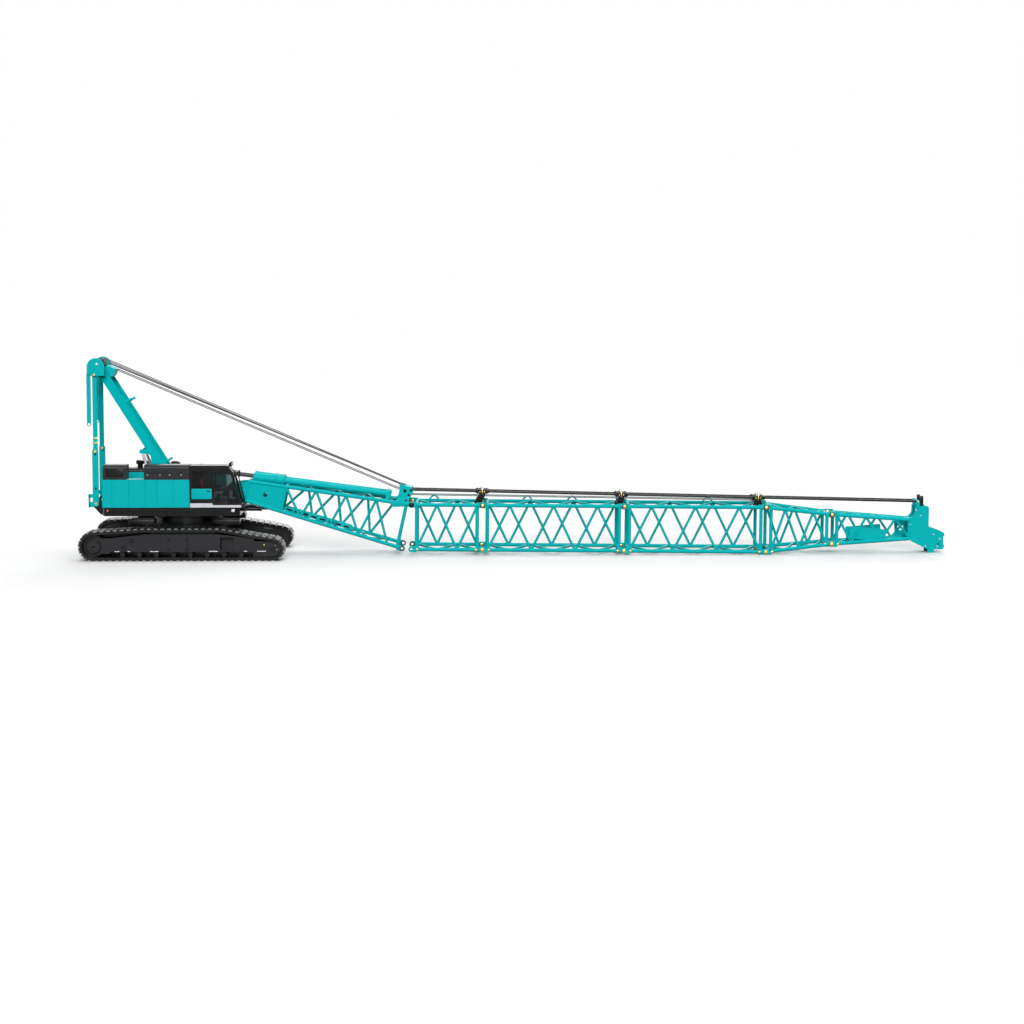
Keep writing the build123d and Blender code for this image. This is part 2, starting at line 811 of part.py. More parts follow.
cylinder_share_up = (cylinder_high_z - mast_foot_z) / (mast_head_z - mast_foot_z)
cylinder_seat_x = mast_foot_x + cylinder_share_up * (mast_head_x - mast_foot_x)
with BuildPart() as gantry_mast:
    for across in (-mast_leg_across, mast_leg_across):
        with BuildSketch(side_plane(across)):
            with Locations(mast_middle):
                Rectangle(mast_length, mast_leg_depth, rotation=degrees(mast_turn))
            with Locations((mast_foot_x, mast_foot_z), (mast_head_x, mast_head_z)):
                Circle(mast_foot_radius)
            with Locations((mast_foot_x, mast_foot_z)):
                Circle(mast_pin_radius + running_gap, mode=Mode.SUBTRACT)
            with Locations((mast_head_x, mast_head_z)):
                Circle(head_tube_radius + running_gap, mode=Mode.SUBTRACT)
        extrude(amount=mast_leg_width / 2, both=True)
        with BuildSketch(side_plane(across)):
            with Locations((cylinder_high_x, cylinder_high_z), (cylinder_seat_x, cylinder_high_z)):
                Circle(cylinder_eye_radius)
            make_hull()
        extrude(amount=cylinder_rod_radius, both=True)
    for share in mast_tie_places:
        with BuildSketch(side_plane(0)):
            with Locations(mast_frame_point(share, 0)):
                Circle(mast_tie_radius)
        extrude(amount=mast_leg_across, both=True)
    with BuildSketch(side_plane(0)):
        with BuildLine():
            Polyline(
                mast_frame_point(mast_plate_start, mast_leg_depth / 2 - mast_plate_thickness),
                mast_frame_point(mast_plate_end, mast_leg_depth / 2 - mast_plate_thickness),
                mast_frame_point(mast_plate_end, mast_leg_depth / 2),
                mast_frame_point(mast_plate_start, mast_leg_depth / 2),
                close=True,
            )
        make_face()
    extrude(amount=mast_leg_across, both=True)
    for across in (-mast_leg_across, mast_leg_across):
        with BuildSketch(side_plane(across)):
            with BuildLine():
                Polyline(
                    mast_frame_point(mast_gusset_rise / mast_length, 0),
                    mast_frame_point(mast_gusset_rise / mast_length, -mast_leg_depth / 2),
                    (mast_foot_x - mast_gusset_reach, mast_foot_z + mast_gusset_low),
                    (mast_foot_x, mast_foot_z + mast_gusset_low),
                    close=True,
                )
            make_face()
        extrude(amount=mast_leg_width / 2, both=True)
        for share, reach in (
            (mast_step_share, mast_step_length),
            (mast_ear_share, mast_ear_length),
        ):
            start_x, start_z = mast_frame_point(share, 0)
            end_x, end_z = mast_frame_point(share, reach)
            add(bar(Vector(start_x, across, start_z), Vector(end_x, across, end_z), mast_step_radius))
write(gantry_mast, "gantry_mast")

# Cylinders that raise the gantry
with BuildPart() as gantry_cylinders:
    for across in (-mast_leg_across, mast_leg_across):
        low = Vector(cylinder_low_x, across, cylinder_low_z)
        high = Vector(cylinder_high_x, across, cylinder_high_z)
        reach = (high - low).normalized()
        high = high - reach * (cylinder_eye_radius + cylinder_rod_radius / 2 + side_gap)
        add(
            [
                bar(low, low + (high - low) * cylinder_share, cylinder_radius),
                bar(low, high, cylinder_rod_radius),
            ]
        )
write(gantry_cylinders, "gantry_cylinders")

# Gantry head: side plates, cross tube, sheave shaft and the pins of the hanging links
head_plate_across = head_plate_inner + head_plate_thickness / 2
anchor_arm_across = mast_leg_across - mast_leg_width / 2 - side_gap - anchor_arm_thickness / 2
hanging_across = head_plate_inner + head_plate_thickness + side_gap + hanging_thickness / 2
with BuildPart() as gantry_head:
    for side in (-1, 1):
        with BuildSketch(side_plane(side * head_plate_across)):
            with Locations((head_plate_x, head_plate_z)):
                Circle(head_plate_radius)
            with Locations((head_plate_x, link_top_z)):
                Rectangle(2 * head_plate_radius, 2 * link_pin_radius)
            make_hull()
            with Locations((rear_lug_x, link_top_z)):
                Circle(link_pin_radius + running_gap, mode=Mode.SUBTRACT)
        extrude(amount=head_plate_thickness / 2, both=True)
        with BuildSketch(side_plane(side * hanging_across)):
            with Locations((hanging_pin_x, hanging_pin_z)):
                Circle(link_pin_radius)
        extrude(amount=hanging_thickness, both=True)
        with BuildSketch(side_plane(side * anchor_arm_across)):
            with Locations((mast_head_x, mast_head_z)):
                Circle(anchor_arm_radius)
            with Locations((anchor_box_x, anchor_box_z)):
                Rectangle(anchor_box_length, anchor_box_height, rotation=-anchor_box_tilt)
            make_hull()
        extrude(amount=anchor_arm_thickness / 2, both=True)
    with BuildSketch(side_plane(0)):
        with Locations((anchor_box_x, anchor_box_z)):
            Rectangle(anchor_box_length, anchor_box_height, rotation=-anchor_box_tilt)
    extrude(amount=anchor_arm_across, both=True)
    with BuildSketch(side_plane(0)):
        with Locations((mast_head_x, mast_head_z)):
            Circle(head_tube_radius)
        with Locations((sheave_x, sheave_z)):
            Circle(sheave_shaft_radius)
    extrude(amount=head_plate_across, both=True)
write(gantry_head, "gantry_head")


def grooved_roll(centre_x, centre_z, count, pitch, radius, root, bore):
    # Half section of a row of sheaves, drawn as distance across and radius, ready to turn
    half = count * pitch / 2
    points = [(-half, bore), (-half, radius)]
    for index in range(count):
        middle = (index + 0.5) * pitch - half
        points += [(middle - pitch / 4, radius), (middle, root), (middle + pitch / 4, radius)]
    points += [(half, radius), (half, bore)]
    with BuildSketch(Plane(origin=(centre_x, 0, centre_z), x_dir=(0, 1, 0), z_dir=(1, 0, 0))) as half_section:
        with BuildLine():
            Polyline(*points, close=True)
        make_face()
    return revolve(
        half_section.sketch, axis=Axis((centre_x, 0, centre_z), (0, 1, 0)), mode=Mode.PRIVATE
    )


# Sheaves on the gantry head
with BuildPart() as gantry_sheaves:
    add(
        grooved_roll(
            sheave_x, sheave_z, sheave_count, sheave_pitch, sheave_radius, sheave_root,
            sheave_shaft_radius + running_gap,
        )
    )
write(gantry_sheaves, "gantry_sheaves")

# Rear links of the gantry and their pins
link_lower_across = rear_lug_across + rear_lug_thickness / 2 + side_gap + link_thickness_across / 2
for label, across, low, high, width in (
    ("link_upper", rear_lug_across, link_mid_z, link_top_z, link_width),
    ("link_lower", link_lower_across, rear_lug_z, link_mid_z, link_lower_width),
):
    with BuildPart() as link:
        for side in (-1, 1):
            with BuildSketch(side_plane(side * across)):
                with Locations((rear_lug_x, (low + high) / 2)):
                    SlotCenterToCenter(high - low, width, rotation=90)
                with Locations((rear_lug_x, low), (rear_lug_x, high)):
                    Circle(link_pin_radius + running_gap, mode=Mode.SUBTRACT)
            extrude(amount=link_thickness_across / 2, both=True)
    write(link, label)
pin_inner = rear_lug_across - rear_lug_thickness / 2 - side_gap
pin_outer = link_lower_across + link_thickness_across / 2 + side_gap
with BuildPart() as link_pins:
    for side in (-1, 1):
        for height, outer in (
            (link_top_z, head_plate_across),
            (link_mid_z, pin_outer),
            (rear_lug_z, pin_outer),
        ):
            add(
                bar(
                    Vector(rear_lug_x, side * pin_inner, height),
                    Vector(rear_lug_x, side * outer, height),
                    link_pin_radius,
                )
            )
write(link_pins, "link_pins")

# Counterweight links that hang free from the gantry head
for side, across in (("right", -hanging_across), ("left", hanging_across)):
    with BuildPart() as hanging_link:
        with BuildSketch(side_plane(across)):
            with Locations((hanging_pin_x, hanging_pin_z - hanging_length / 2)):
                SlotCenterToCenter(hanging_length, hanging_width, rotation=90)
            with Locations(
                (hanging_pin_x, hanging_pin_z), (hanging_pin_x, hanging_pin_z - hanging_length)
            ):
                Circle(link_pin_radius + running_gap, mode=Mode.SUBTRACT)
        extrude(amount=hanging_thickness / 2, both=True)
    write(hanging_link, f"hanging_link_{side}")


def lug(frame, along, across, up, toward, fork):
    # Eye of one chord end: the two ears of a fork, or the tongue that fits between them
    if fork:
        plates = ((-ear_offset, ear_thickness), (ear_offset, ear_thickness))
    else:
        plates = ((0, tongue_thickness),)
    edge = Align.MIN if toward > 0 else Align.MAX
    solids = []
    for shift, thickness in plates:
        with BuildSketch(boom_side(frame, along, across + shift, up)) as eye:
            Circle(lug_radius)
            Rectangle(lug_reach, 2 * lug_radius, align=(edge, Align.CENTER))
            Circle(lug_pin_radius + running_gap, mode=Mode.SUBTRACT)
        solids.append(extrude(eye.sketch, amount=thickness / 2, both=True, mode=Mode.PRIVATE))
    solids.append(
        bar(
            boom_point(frame, along + toward * collar_start, across, up),
            boom_point(frame, along + toward * collar_end, across, up),
            collar_radius,
        )
    )
    return solids


def truss(frame, middle, ends, posts, stations, first_level, forks=True, tongues=True):
    # Four chords, end posts and zigzag lacing of one boom section
    (first, first_width, first_depth), (last, last_width, last_depth) = ends

    def node(along, side, level):
        share = (along - first) / (last - first)
        width = first_width + (last_width - first_width) * share
        depth = first_depth + (last_depth - first_depth) * share
        return boom_point(frame, along, side * width / 2, middle + level * depth / 2)

    solids = []
    begin = first + collar_start if forks else posts[0]
    finish = last - collar_start if tongues else last
    for side in (-1, 1):
        for level in (-1, 1):
            solids.append(bar(node(begin, side, level), node(finish, side, level), chord_radius))
            if forks:
                solids += lug(frame, first, side * first_width / 2, middle + level * first_depth / 2, 1, True)
            if tongues:
                solids += lug(frame, last, side * last_width / 2, middle + level * last_depth / 2, -1, False)
    for along in posts:
        for sign in (-1, 1):
            solids.append(bar(node(along, sign, -1), node(along, sign, 1), post_radius))
            solids.append(bar(node(along, -1, sign), node(along, 1, sign), post_radius))
    for index in range(len(stations) - 1):
        here, there = stations[index], stations[index + 1]
        level = first_level if index % 2 == 0 else -first_level
        for side in (-1, 1):
            solids.append(
                bar(node(here, side, -side * level), node(there, side, side * level), lacing_radius, lacing_sides)
            )
            solids.append(
                bar(node(here, -level, side), node(there, level, side), lacing_radius, lacing_sides)
            )
    return solids


def even_stations(start, end, bays):
    # Lacing points spaced evenly along a section
    return [start + (end - start) * index / bays for index in range(bays + 1)]


# Boom base section with its foot plates
base_ends = ((0, foot_width, foot_depth), (base_length, boom_width, boom_depth))
base_bay = (base_length - post_inset - foot_plate_length) / base_bays
base_stations = []
for index in range(base_bays):
    base_stations += [
        foot_plate_length + index * base_bay,
        foot_plate_length + (index + base_bay_rise) * base_bay,
    ]
stop_share = stop_along / base_length
stop_tie_up = (foot_depth + (boom_depth - foot_depth) * stop_share) / 2
stop_tie_half = (foot_width + (boom_width - foot_width) * stop_share) / 2
stop_bracket_offset = stop_tube_radius + side_gap + stop_bracket_thickness / 2
with BuildPart() as boom_base:
    add(
        truss(
            base_frame,
            0,
            base_ends,
            (foot_post, foot_plate_length, base_length - post_inset),
            base_stations,
            1,
            forks=False,
        )
    )
    add(
        bar(
            boom_point(base_frame, stop_along, -stop_tie_half, stop_tie_up),
            boom_point(base_frame, stop_along, stop_tie_half, stop_tie_up),
            stop_tie_radius,
        )
    )
    for side in (-1, 1):
        foot_point = boom_point(base_frame, 0, side * foot_width / 2, 0)
        run = boom_point(base_frame, base_length, side * boom_width / 2, 0) - foot_point
        plate_share = foot_plate_length / base_length
        plate_depth = foot_depth + (boom_depth - foot_depth) * plate_share
        with BuildSketch(Plane(origin=foot_point, x_dir=run, z_dir=run.cross(base_frame.z_dir))):
            Circle(foot_plate_nose)
            with Locations((foot_post, 0)):
                Rectangle(foot_eye_width, foot_depth)
            with Locations((foot_plate_length, 0)):
                Rectangle(foot_plate_thickness, plate_depth)
            make_hull()
            with Locations((foot_plate_hole_along, 0)):
                Circle(foot_plate_hole, mode=Mode.SUBTRACT)
        extrude(amount=foot_plate_thickness / 2, both=True)
        with BuildSketch(boom_side(base_frame, 0, side * foot_width / 2, 0)):
            Circle(foot_eye_radius)
        extrude(amount=foot_eye_width / 2, both=True)
        with BuildSketch(boom_side(base_frame, 0, side * foot_width / 2, 0)):
            Circle(foot_pin_radius + running_gap)
        extrude(amount=foot_eye_width, both=True, mode=Mode.SUBTRACT)
        for shift in (-1, 1):
            bracket_across = side * stop_across + shift * stop_bracket_offset
            with BuildSketch(boom_side(base_frame, stop_along, bracket_across, stop_up)):
                Circle(stop_eye_radius)
                with Locations((0, stop_tie_up - stop_up)):
                    Circle(lacing_radius)
                make_hull()
            extrude(amount=stop_bracket_thickness / 2, both=True)
        add(
            bar(
                boom_point(base_frame, stop_along, side * stop_across - stop_bracket_offset, stop_up),
                boom_point(base_frame, stop_along, side * stop_across + stop_bracket_offset, stop_up),
                stop_pin_radius,
            )
        )
write(boom_base, "boom_base")

# Boom foot pins in the deck lugs
foot_pin_inner = foot_lug_across - foot_lug_thickness / 2
foot_pin_outer = foot_width / 2 + foot_eye_width / 2 + side_gap
with BuildPart() as boom_foot_pins:
    add(
        [
            bar(
                Vector(foot_x, side * foot_pin_inner, foot_z),
                Vector(foot_x, side * foot_pin_outer, foot_z),
                foot_pin_radius,
            )
            for side in (-1, 1)
        ]
    )
write(boom_foot_pins, "boom_foot_pins")

# Backstops: barrels on tubes hinged near the end of the base, with rods that slide in them
stop_eye = boom_point(base_frame, stop_along, 0, stop_up)
stop_seat = Vector(stop_shaft_x, 0, stop_shaft_z)
stop_run = (stop_seat - stop_eye).normalized()
stop_span = (stop_seat - stop_eye).length
stop_barrel_end = stop_tube_length + stop_barrel_length
stop_half_eye = Vector(0, stop_eye_half, 0)
with BuildPart() as backstop_tubes:
    for side in (-1, 1):
        eye = stop_eye + Vector(0, side * stop_across, 0)
        end = eye + stop_run * stop_barrel_end
        add(
            [
                bar(eye + stop_run * stop_eye_half, end, stop_tube_radius),
                bar(eye + stop_run * stop_tube_length, end, stop_barrel_radius),
                bar(eye - stop_half_eye, eye + stop_half_eye, stop_eye_radius),
            ]
        )
        add(
            [
                bar(end - stop_run * stop_bore_depth, end, stop_rod_radius + running_gap),
                bar(eye - stop_half_eye, eye + stop_half_eye, stop_pin_radius + running_gap),
            ],
            mode=Mode.SUBTRACT,
        )
write(backstop_tubes, "backstop_tubes")
with BuildPart() as backstop_rods:
    for side in (-1, 1):
        eye = stop_eye + Vector(0, side * stop_across, 0)
        pad_end = eye + stop_run * (stop_span - stop_shaft_radius - stop_pad_gap)
        add(
            [
                bar(eye + stop_run * (stop_barrel_end - stop_rod_engaged), pad_end, stop_rod_radius),
                bar(pad_end - stop_run * stop_pad_thickness, pad_end, stop_pad_radius),
            ]
        )
write(backstop_rods, "backstop_rods")

# Parallel boom inserts
boom_middle = -boom_depth / 2
first_long = short_insert_length
second_long = short_insert_length + long_insert_length
for label, start, end, first_level in (
    ("boom_insert_short", 0, first_long, -1),
    ("boom_insert_long_a", first_long, second_long, -1),
    ("boom_insert_long_b", second_long, rest_along, -1),
):
    bays = round((end - start) / lacing_pitch)
    with BuildPart() as insert:
        add(
            truss(
                outer_frame,
                boom_middle,
                ((start, boom_width, boom_depth), (end, boom_width, boom_depth)),
                (start + post_inset, end - post_inset),
                even_stations(start + post_inset, end - post_inset, bays),
                first_level,
            )
        )
    write(insert, label)

# Tapering section
with BuildPart() as boom_taper:
    add(
        truss(
            outer_frame,
            boom_middle,
            ((rest_along, boom_width, boom_depth), (taper_end, taper_width, taper_depth)),
            (rest_along + post_inset, taper_end - post_inset),
            even_stations(rest_along + post_inset, taper_end - post_inset, taper_bays),
            -1,
        )
    )
write(boom_taper, "boom_taper")

# Boom head: slim lattice, side plates with an arm each, foot, sheave shaft and pendant clevises
pendant_lift = pendant_pin_up - boom_middle - head_arm_rise
foot_drop = boom_point(outer_frame, head_start + head_foot_x, 0, boom_middle).Z / cos(outer_turn)
clevis_across = pendant_eye_width / 2 + side_gap + ear_thickness / 2
chord_up = head_depth / 2 + chord_radius
arm_sweep_x = head_arm_start - head_arm_sweep
arm_sweep_up = chord_up + head_arm_sweep
arm_sweep_middle = (
    arm_sweep_x + head_arm_sweep * cos(radians(45)),
    arm_sweep_up - head_arm_sweep * sin(radians(45)),
)
panel_share = ((panel_start + panel_end) / 2 - taper_end) / head_length
panel_across = (taper_width + (head_width - taper_width) * panel_share) / 2
panel_turn = degrees(atan2((taper_width - head_width) / 2, head_length))
window_share = 1 - window_plate_length / 2 / head_length
window_across = (taper_width + (head_width - taper_width) * window_share) / 2
window_plate_depth = taper_depth + (head_depth - taper_depth) * window_share
with BuildPart() as boom_head:
    add(
        truss(
            outer_frame,
            boom_middle,
            ((taper_end, taper_width, taper_depth), (head_start, head_width, head_depth)),
            (taper_end + post_inset, head_start),
            even_stations(taper_end + post_inset, head_start, head_bays),
            1,
            tongues=False,
        )
    )
    for side in (-1, 1):
        with BuildSketch(boom_side(outer_frame, head_start, side * head_plate_half, boom_middle)) as cheek:
            with BuildLine():
                Polyline(
                    (0, -chord_up),
                    (head_foot_x - head_foot_length / 2, head_low),
                    (head_step_x, head_low),
                    (head_step_x, head_step_up),
                    (head_arm_end, head_shelf_up),
                    (head_arm_end, head_arm_rise),
                    (head_arm_start, head_arm_rise),
                    (head_arm_start, arm_sweep_up),
                )
                ThreePointArc((head_arm_start, arm_sweep_up), arm_sweep_middle, (arm_sweep_x, chord_up))
                Polyline(
                    (arm_sweep_x, chord_up),
                    (arm_sweep_x, -chord_up),
                    (0, -chord_up),
                )
            make_face()
            arm_top = cheek.vertices().group_by(Axis.Y)[-1]
            fillet(arm_top.sort_by(Axis.X)[-1], head_arm_corner)
            with Locations(*((head_step_x - head_boss_radius / 2, up) for up in head_boss_ups)):
                Circle(head_boss_radius)
            with Locations((head_foot_x, -foot_drop)):
                Rectangle(head_foot_length, foot_drop + head_low, align=(Align.CENTER, Align.MIN))
            with Locations((jib_hole_x, jib_hole_up)):
                Circle(jib_hole_radius, mode=Mode.SUBTRACT)
        extrude(amount=head_side_thickness / 2, both=True)
        for shift in (-clevis_across, clevis_across):
            with BuildSketch(
                boom_side(outer_frame, pendant_pin_along, side * pendant_across + shift, pendant_pin_up)
            ):
                Circle(pendant_eye_radius)
                with Locations((0, -pendant_lift)):
                    Rectangle(2 * pendant_eye_radius, pendant_eye_radius, align=(Align.CENTER, Align.MAX))
                make_hull()
            extrude(amount=ear_thickness / 2, both=True)
        with BuildSketch(boom_side(outer_frame, pendant_pin_along, side * pendant_across, pendant_pin_up)):
            Circle(pendant_pin_radius)
        extrude(amount=clevis_across, both=True)
        with BuildSketch(boom_side(outer_frame, pendant_pin_along, side * pendant_across, pendant_pin_up)):
            with Locations((0, -pendant_lift)):
                Rectangle(2 * pendant_eye_radius, pendant_eye_radius, align=(Align.CENTER, Align.MAX))
        extrude(amount=clevis_across + ear_thickness / 2, both=True)
        panel_face = boom_side(
            outer_frame,
            (panel_start + panel_end) / 2,
            side * panel_across,
            (panel_low + panel_high) / 2,
        )
        with BuildSketch(panel_face.rotated((0, -side * panel_turn, 0))):
            Rectangle(panel_end - panel_start, panel_high - panel_low)
        extrude(amount=panel_thickness / 2, both=True)
    window_face = boom_side(outer_frame, head_start - window_plate_length / 2, window_across, boom_middle)
    with BuildSketch(window_face.rotated((0, -panel_turn, 0))):
        Rectangle(window_plate_length, window_plate_depth)
        Circle(window_plate_hole, mode=Mode.SUBTRACT)
    extrude(amount=panel_thickness / 2, both=True)
    with BuildSketch(boom_side(outer_frame, head_start + head_shaft_x, 0, boom_middle + head_shaft_up)):
        Circle(head_shaft_radius)
    extrude(amount=head_plate_half, both=True)
write(boom_head, "boom_head")

# Sheaves in the boom head
head_sheave_place = boom_point(outer_frame, head_start + head_shaft_x, 0, boom_middle + head_shaft_up)
with BuildPart() as head_sheaves:
    add(
        grooved_roll(
            head_sheave_place.X, head_sheave_place.Z, head_sheave_count, head_sheave_pitch,
            head_sheave_radius, head_sheave_root, head_shaft_radius + running_gap,
        )
    )
write(head_sheaves, "head_sheaves")

# Pins through the chord joints of the outer boom, and the two at the knuckle
joint_corners = [
    (along, boom_width / 2, level * boom_depth / 2)
    for along in (first_long, second_long, rest_along)
    for level in (-1, 1)
]
joint_corners += [(taper_end, taper_width / 2, level * taper_depth / 2) for level in (-1, 1)]
joint_corners += [(0, boom_width / 2, boom_depth / 2)]
pin_half = lug_half + side_gap
with BuildPart() as boom_pins:
    add(
        [
            bar(
                boom_point(outer_frame, along, side * across - pin_half, boom_middle + up),
                boom_point(outer_frame, along, side * across + pin_half, boom_middle + up),
                lug_pin_radius,
            )
            for along, across, up in joint_corners
            for side in (-1, 1)
        ]
    )
write(boom_pins, "boom_pins")

# Pendant links from the spreader to the boom head
pendant_start = Vector(spreader_pin_x, 0, spreader_pin_z)
pendant_end = boom_point(outer_frame, pendant_pin_along, 0, pendant_pin_up)
pendant_run = (pendant_end - pendant_start).normalized()
pendant_frame = Plane(origin=pendant_start, x_dir=pendant_run, z_dir=pendant_run.cross(Vector(0, 1, 0)))
pendant_span = (pendant_end - pendant_start).length
coupling_alongs = [
    joint + shift for joint, shift in zip((first_long, second_long, rest_along), pendant_joint_shifts)
]
coupling_places = [
    pendant_frame.to_local_coords(boom_point(outer_frame, along, 0, 0)).X for along in coupling_alongs
]
with BuildPart() as pendants:
    for side in (-1, 1):
        across = side * pendant_across
        solids = [
            bar(
                boom_point(pendant_frame, pendant_eye_radius / 2, across, 0),
                boom_point(pendant_frame, pendant_span - pendant_eye_radius / 2, across, 0),
                pendant_radius,
            )
        ]
        for place in (0, pendant_span):
            solids.append(
                bar(
                    boom_point(pendant_frame, place, across - pendant_eye_width / 2, 0),
                    boom_point(pendant_frame, place, across + pendant_eye_width / 2, 0),
                    pendant_eye_radius,
                )
            )
        add(solids)
        for place in coupling_places:
            with BuildSketch(boom_side(pendant_frame, place, across, 0)):
                Rectangle(pendant_joint_length, pendant_joint_size)
            extrude(amount=pendant_joint_size / 2, both=True)
        for place in (0, pendant_span):
            with BuildSketch(boom_side(pendant_frame, place, across, 0)):
                Circle(pendant_pin_radius + running_gap)
            extrude(amount=pendant_eye_width, both=True, mode=Mode.SUBTRACT)
write(pendants, "pendants")

# Rests clamped on the boom's cross ties, under the pendant couplings
with BuildPart() as pendant_rests:
    for joint, place in zip((first_long, second_long, rest_along), coupling_places):
        coupling = outer_frame.to_local_coords(boom_point(pendant_frame, place, 0, 0))
        tie_along = joint - post_inset
        rest_top = coupling.Z - pendant_joint_size / 2 - seat_gap - running_gap
        for side in (-1, 1):
            with BuildSketch(boom_side(outer_frame, tie_along, side * pendant_across, 0)):
                Circle(rest_foot_radius)
                with Locations((coupling.X - tie_along, rest_top)):
                    Rectangle(rest_head_length, rest_head_height, align=(Align.CENTER, Align.MAX))
                make_hull()
                Circle(post_radius + running_gap, mode=Mode.SUBTRACT)
            extrude(amount=rest_thickness / 2, both=True)
write(pendant_rests, "pendant_rests")

# Spreader that joins the hoist ropes to the pendants
spreader_shaft = Vector(spreader_shaft_x, 0, spreader_shaft_z)
spreader_across = pendant_across + pendant_eye_width / 2 + side_gap + spreader_wall / 2
cover_rear, cover_front = (Vector(*corner) for corner in spreader_corners[:2])
cover_run = (cover_front - cover_rear).normalized()
cover_middle = cover_front - cover_run * (spreader_cover_length / 2)
with BuildPart() as spreader:
    for side in (-1, 1):
        with BuildSketch(side_plane(side * spreader_across)):
            with BuildLine():
                Polyline(*spreader_corners, close=True)
            make_face()
        extrude(amount=spreader_wall / 2, both=True)
        with BuildSketch(side_plane(side * pendant_across)):
            with Locations((spreader_pin_x, spreader_pin_z)):
                Circle(pendant_pin_radius)
        extrude(amount=spreader_across - pendant_across, both=True)
    with BuildSketch(side_plane(0)):
        with Locations((spreader_shaft_x, spreader_shaft_z)):
            Circle(sheave_shaft_radius)
        with Locations((cover_middle.X, cover_middle.Y)):
            Rectangle(
                spreader_cover_length,
                spreader_cover_thickness,
                rotation=degrees(atan2(cover_run.Y, cover_run.X)),
                align=(Align.CENTER, Align.MAX),
            )
    extrude(amount=spreader_across, both=True)
    add(
        grooved_roll(
            spreader_shaft_x, spreader_shaft_z, sheave_count, sheave_pitch, spreader_sheave_radius,
            spreader_sheave_root, sheave_shaft_radius / 2,
        )
    )
write(spreader, "spreader")

# Boom hoist ropes, drawn tight in three layers from the gantry sheaves to the spreader
rope_anchor = Vector(sheave_x, 0, sheave_z)
rope_run = (spreader_shaft - rope_anchor).normalized()
rope_up = Vector(-rope_run.Z, 0, rope_run.X)
with BuildPart() as hoist_ropes:
    for (skip, lift, short, drop), spread in zip(rope_layers, rope_across):
        for side in (-1, 1):
            across = Vector(0, side * spread, 0)
            add(
                bar(
                    rope_anchor + rope_run * skip + rope_up * lift + across,
                    spreader_shaft - rope_run * short + rope_up * drop + across,
                    rope_radius,
                )
            )
write(hoist_ropes, "hoist_ropes")
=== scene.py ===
import json
import math

import bpy
import numpy as np
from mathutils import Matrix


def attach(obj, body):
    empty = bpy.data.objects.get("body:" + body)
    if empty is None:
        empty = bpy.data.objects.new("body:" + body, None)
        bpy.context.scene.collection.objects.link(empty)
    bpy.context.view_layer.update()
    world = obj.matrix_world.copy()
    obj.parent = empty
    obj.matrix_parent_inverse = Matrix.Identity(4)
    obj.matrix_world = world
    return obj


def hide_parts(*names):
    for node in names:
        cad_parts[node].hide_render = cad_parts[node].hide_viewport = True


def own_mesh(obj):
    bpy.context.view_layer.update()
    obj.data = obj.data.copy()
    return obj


# Looks of a die-cast display crane, built around its solids. The pieces' dictionaries hold
# millimetres in the part's frame, and the meshes are made in metres.
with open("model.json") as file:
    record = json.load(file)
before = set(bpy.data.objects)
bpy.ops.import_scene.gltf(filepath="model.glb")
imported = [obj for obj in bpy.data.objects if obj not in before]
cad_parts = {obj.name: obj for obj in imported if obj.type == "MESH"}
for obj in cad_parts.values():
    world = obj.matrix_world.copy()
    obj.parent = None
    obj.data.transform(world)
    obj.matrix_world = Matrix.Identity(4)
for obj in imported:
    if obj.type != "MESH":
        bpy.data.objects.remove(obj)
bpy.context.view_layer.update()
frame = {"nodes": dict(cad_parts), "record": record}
nodes = frame["nodes"]
mm = 0.001
print("frame loaded:", len(nodes), "nodes")


def linear(hexColour):
    # sRGB hex to linear colour with full alpha
    parts = [int(hexColour[i:i + 2], 16) / 255 for i in (0, 2, 4)]
    return tuple(c / 12.92 if c <= 0.04045 else ((c + 0.055) / 1.055) ** 2.4 for c in parts) + (1.0,)


def patternScale(sizeInMm):
    # texture scale on Object coordinates that makes one feature this many millimetres wide
    return 1000 / sizeInMm


def addNode(tree, kind, settings=None, links=None):
    # adds a node, sets its properties or sockets, and links its inputs
    made = tree.nodes.new(kind)
    for name, value in (settings or {}).items():
        if isinstance(name, int) or name in made.inputs:
            made.inputs[name].default_value = value
        else:
            setattr(made, name, value)
    for name, socket in (links or {}).items():
        tree.links.new(socket, made.inputs[name])
    return made


def newMaterial(name):
    # empty node material with its output, shader and object coordinates
    made = bpy.data.materials.new(name)
    made.use_nodes = True
    tree = made.node_tree
    tree.nodes.clear()
    output = addNode(tree, "ShaderNodeOutputMaterial")
    shader = addNode(tree, "ShaderNodeBsdfPrincipled")
    tree.links.new(shader.outputs["BSDF"], output.inputs["Surface"])
    place = addNode(tree, "ShaderNodeTexCoord").outputs["Object"]
    return made, tree, shader, place


peelDepth = 0.1  # depth of the orange peel as a share of its width


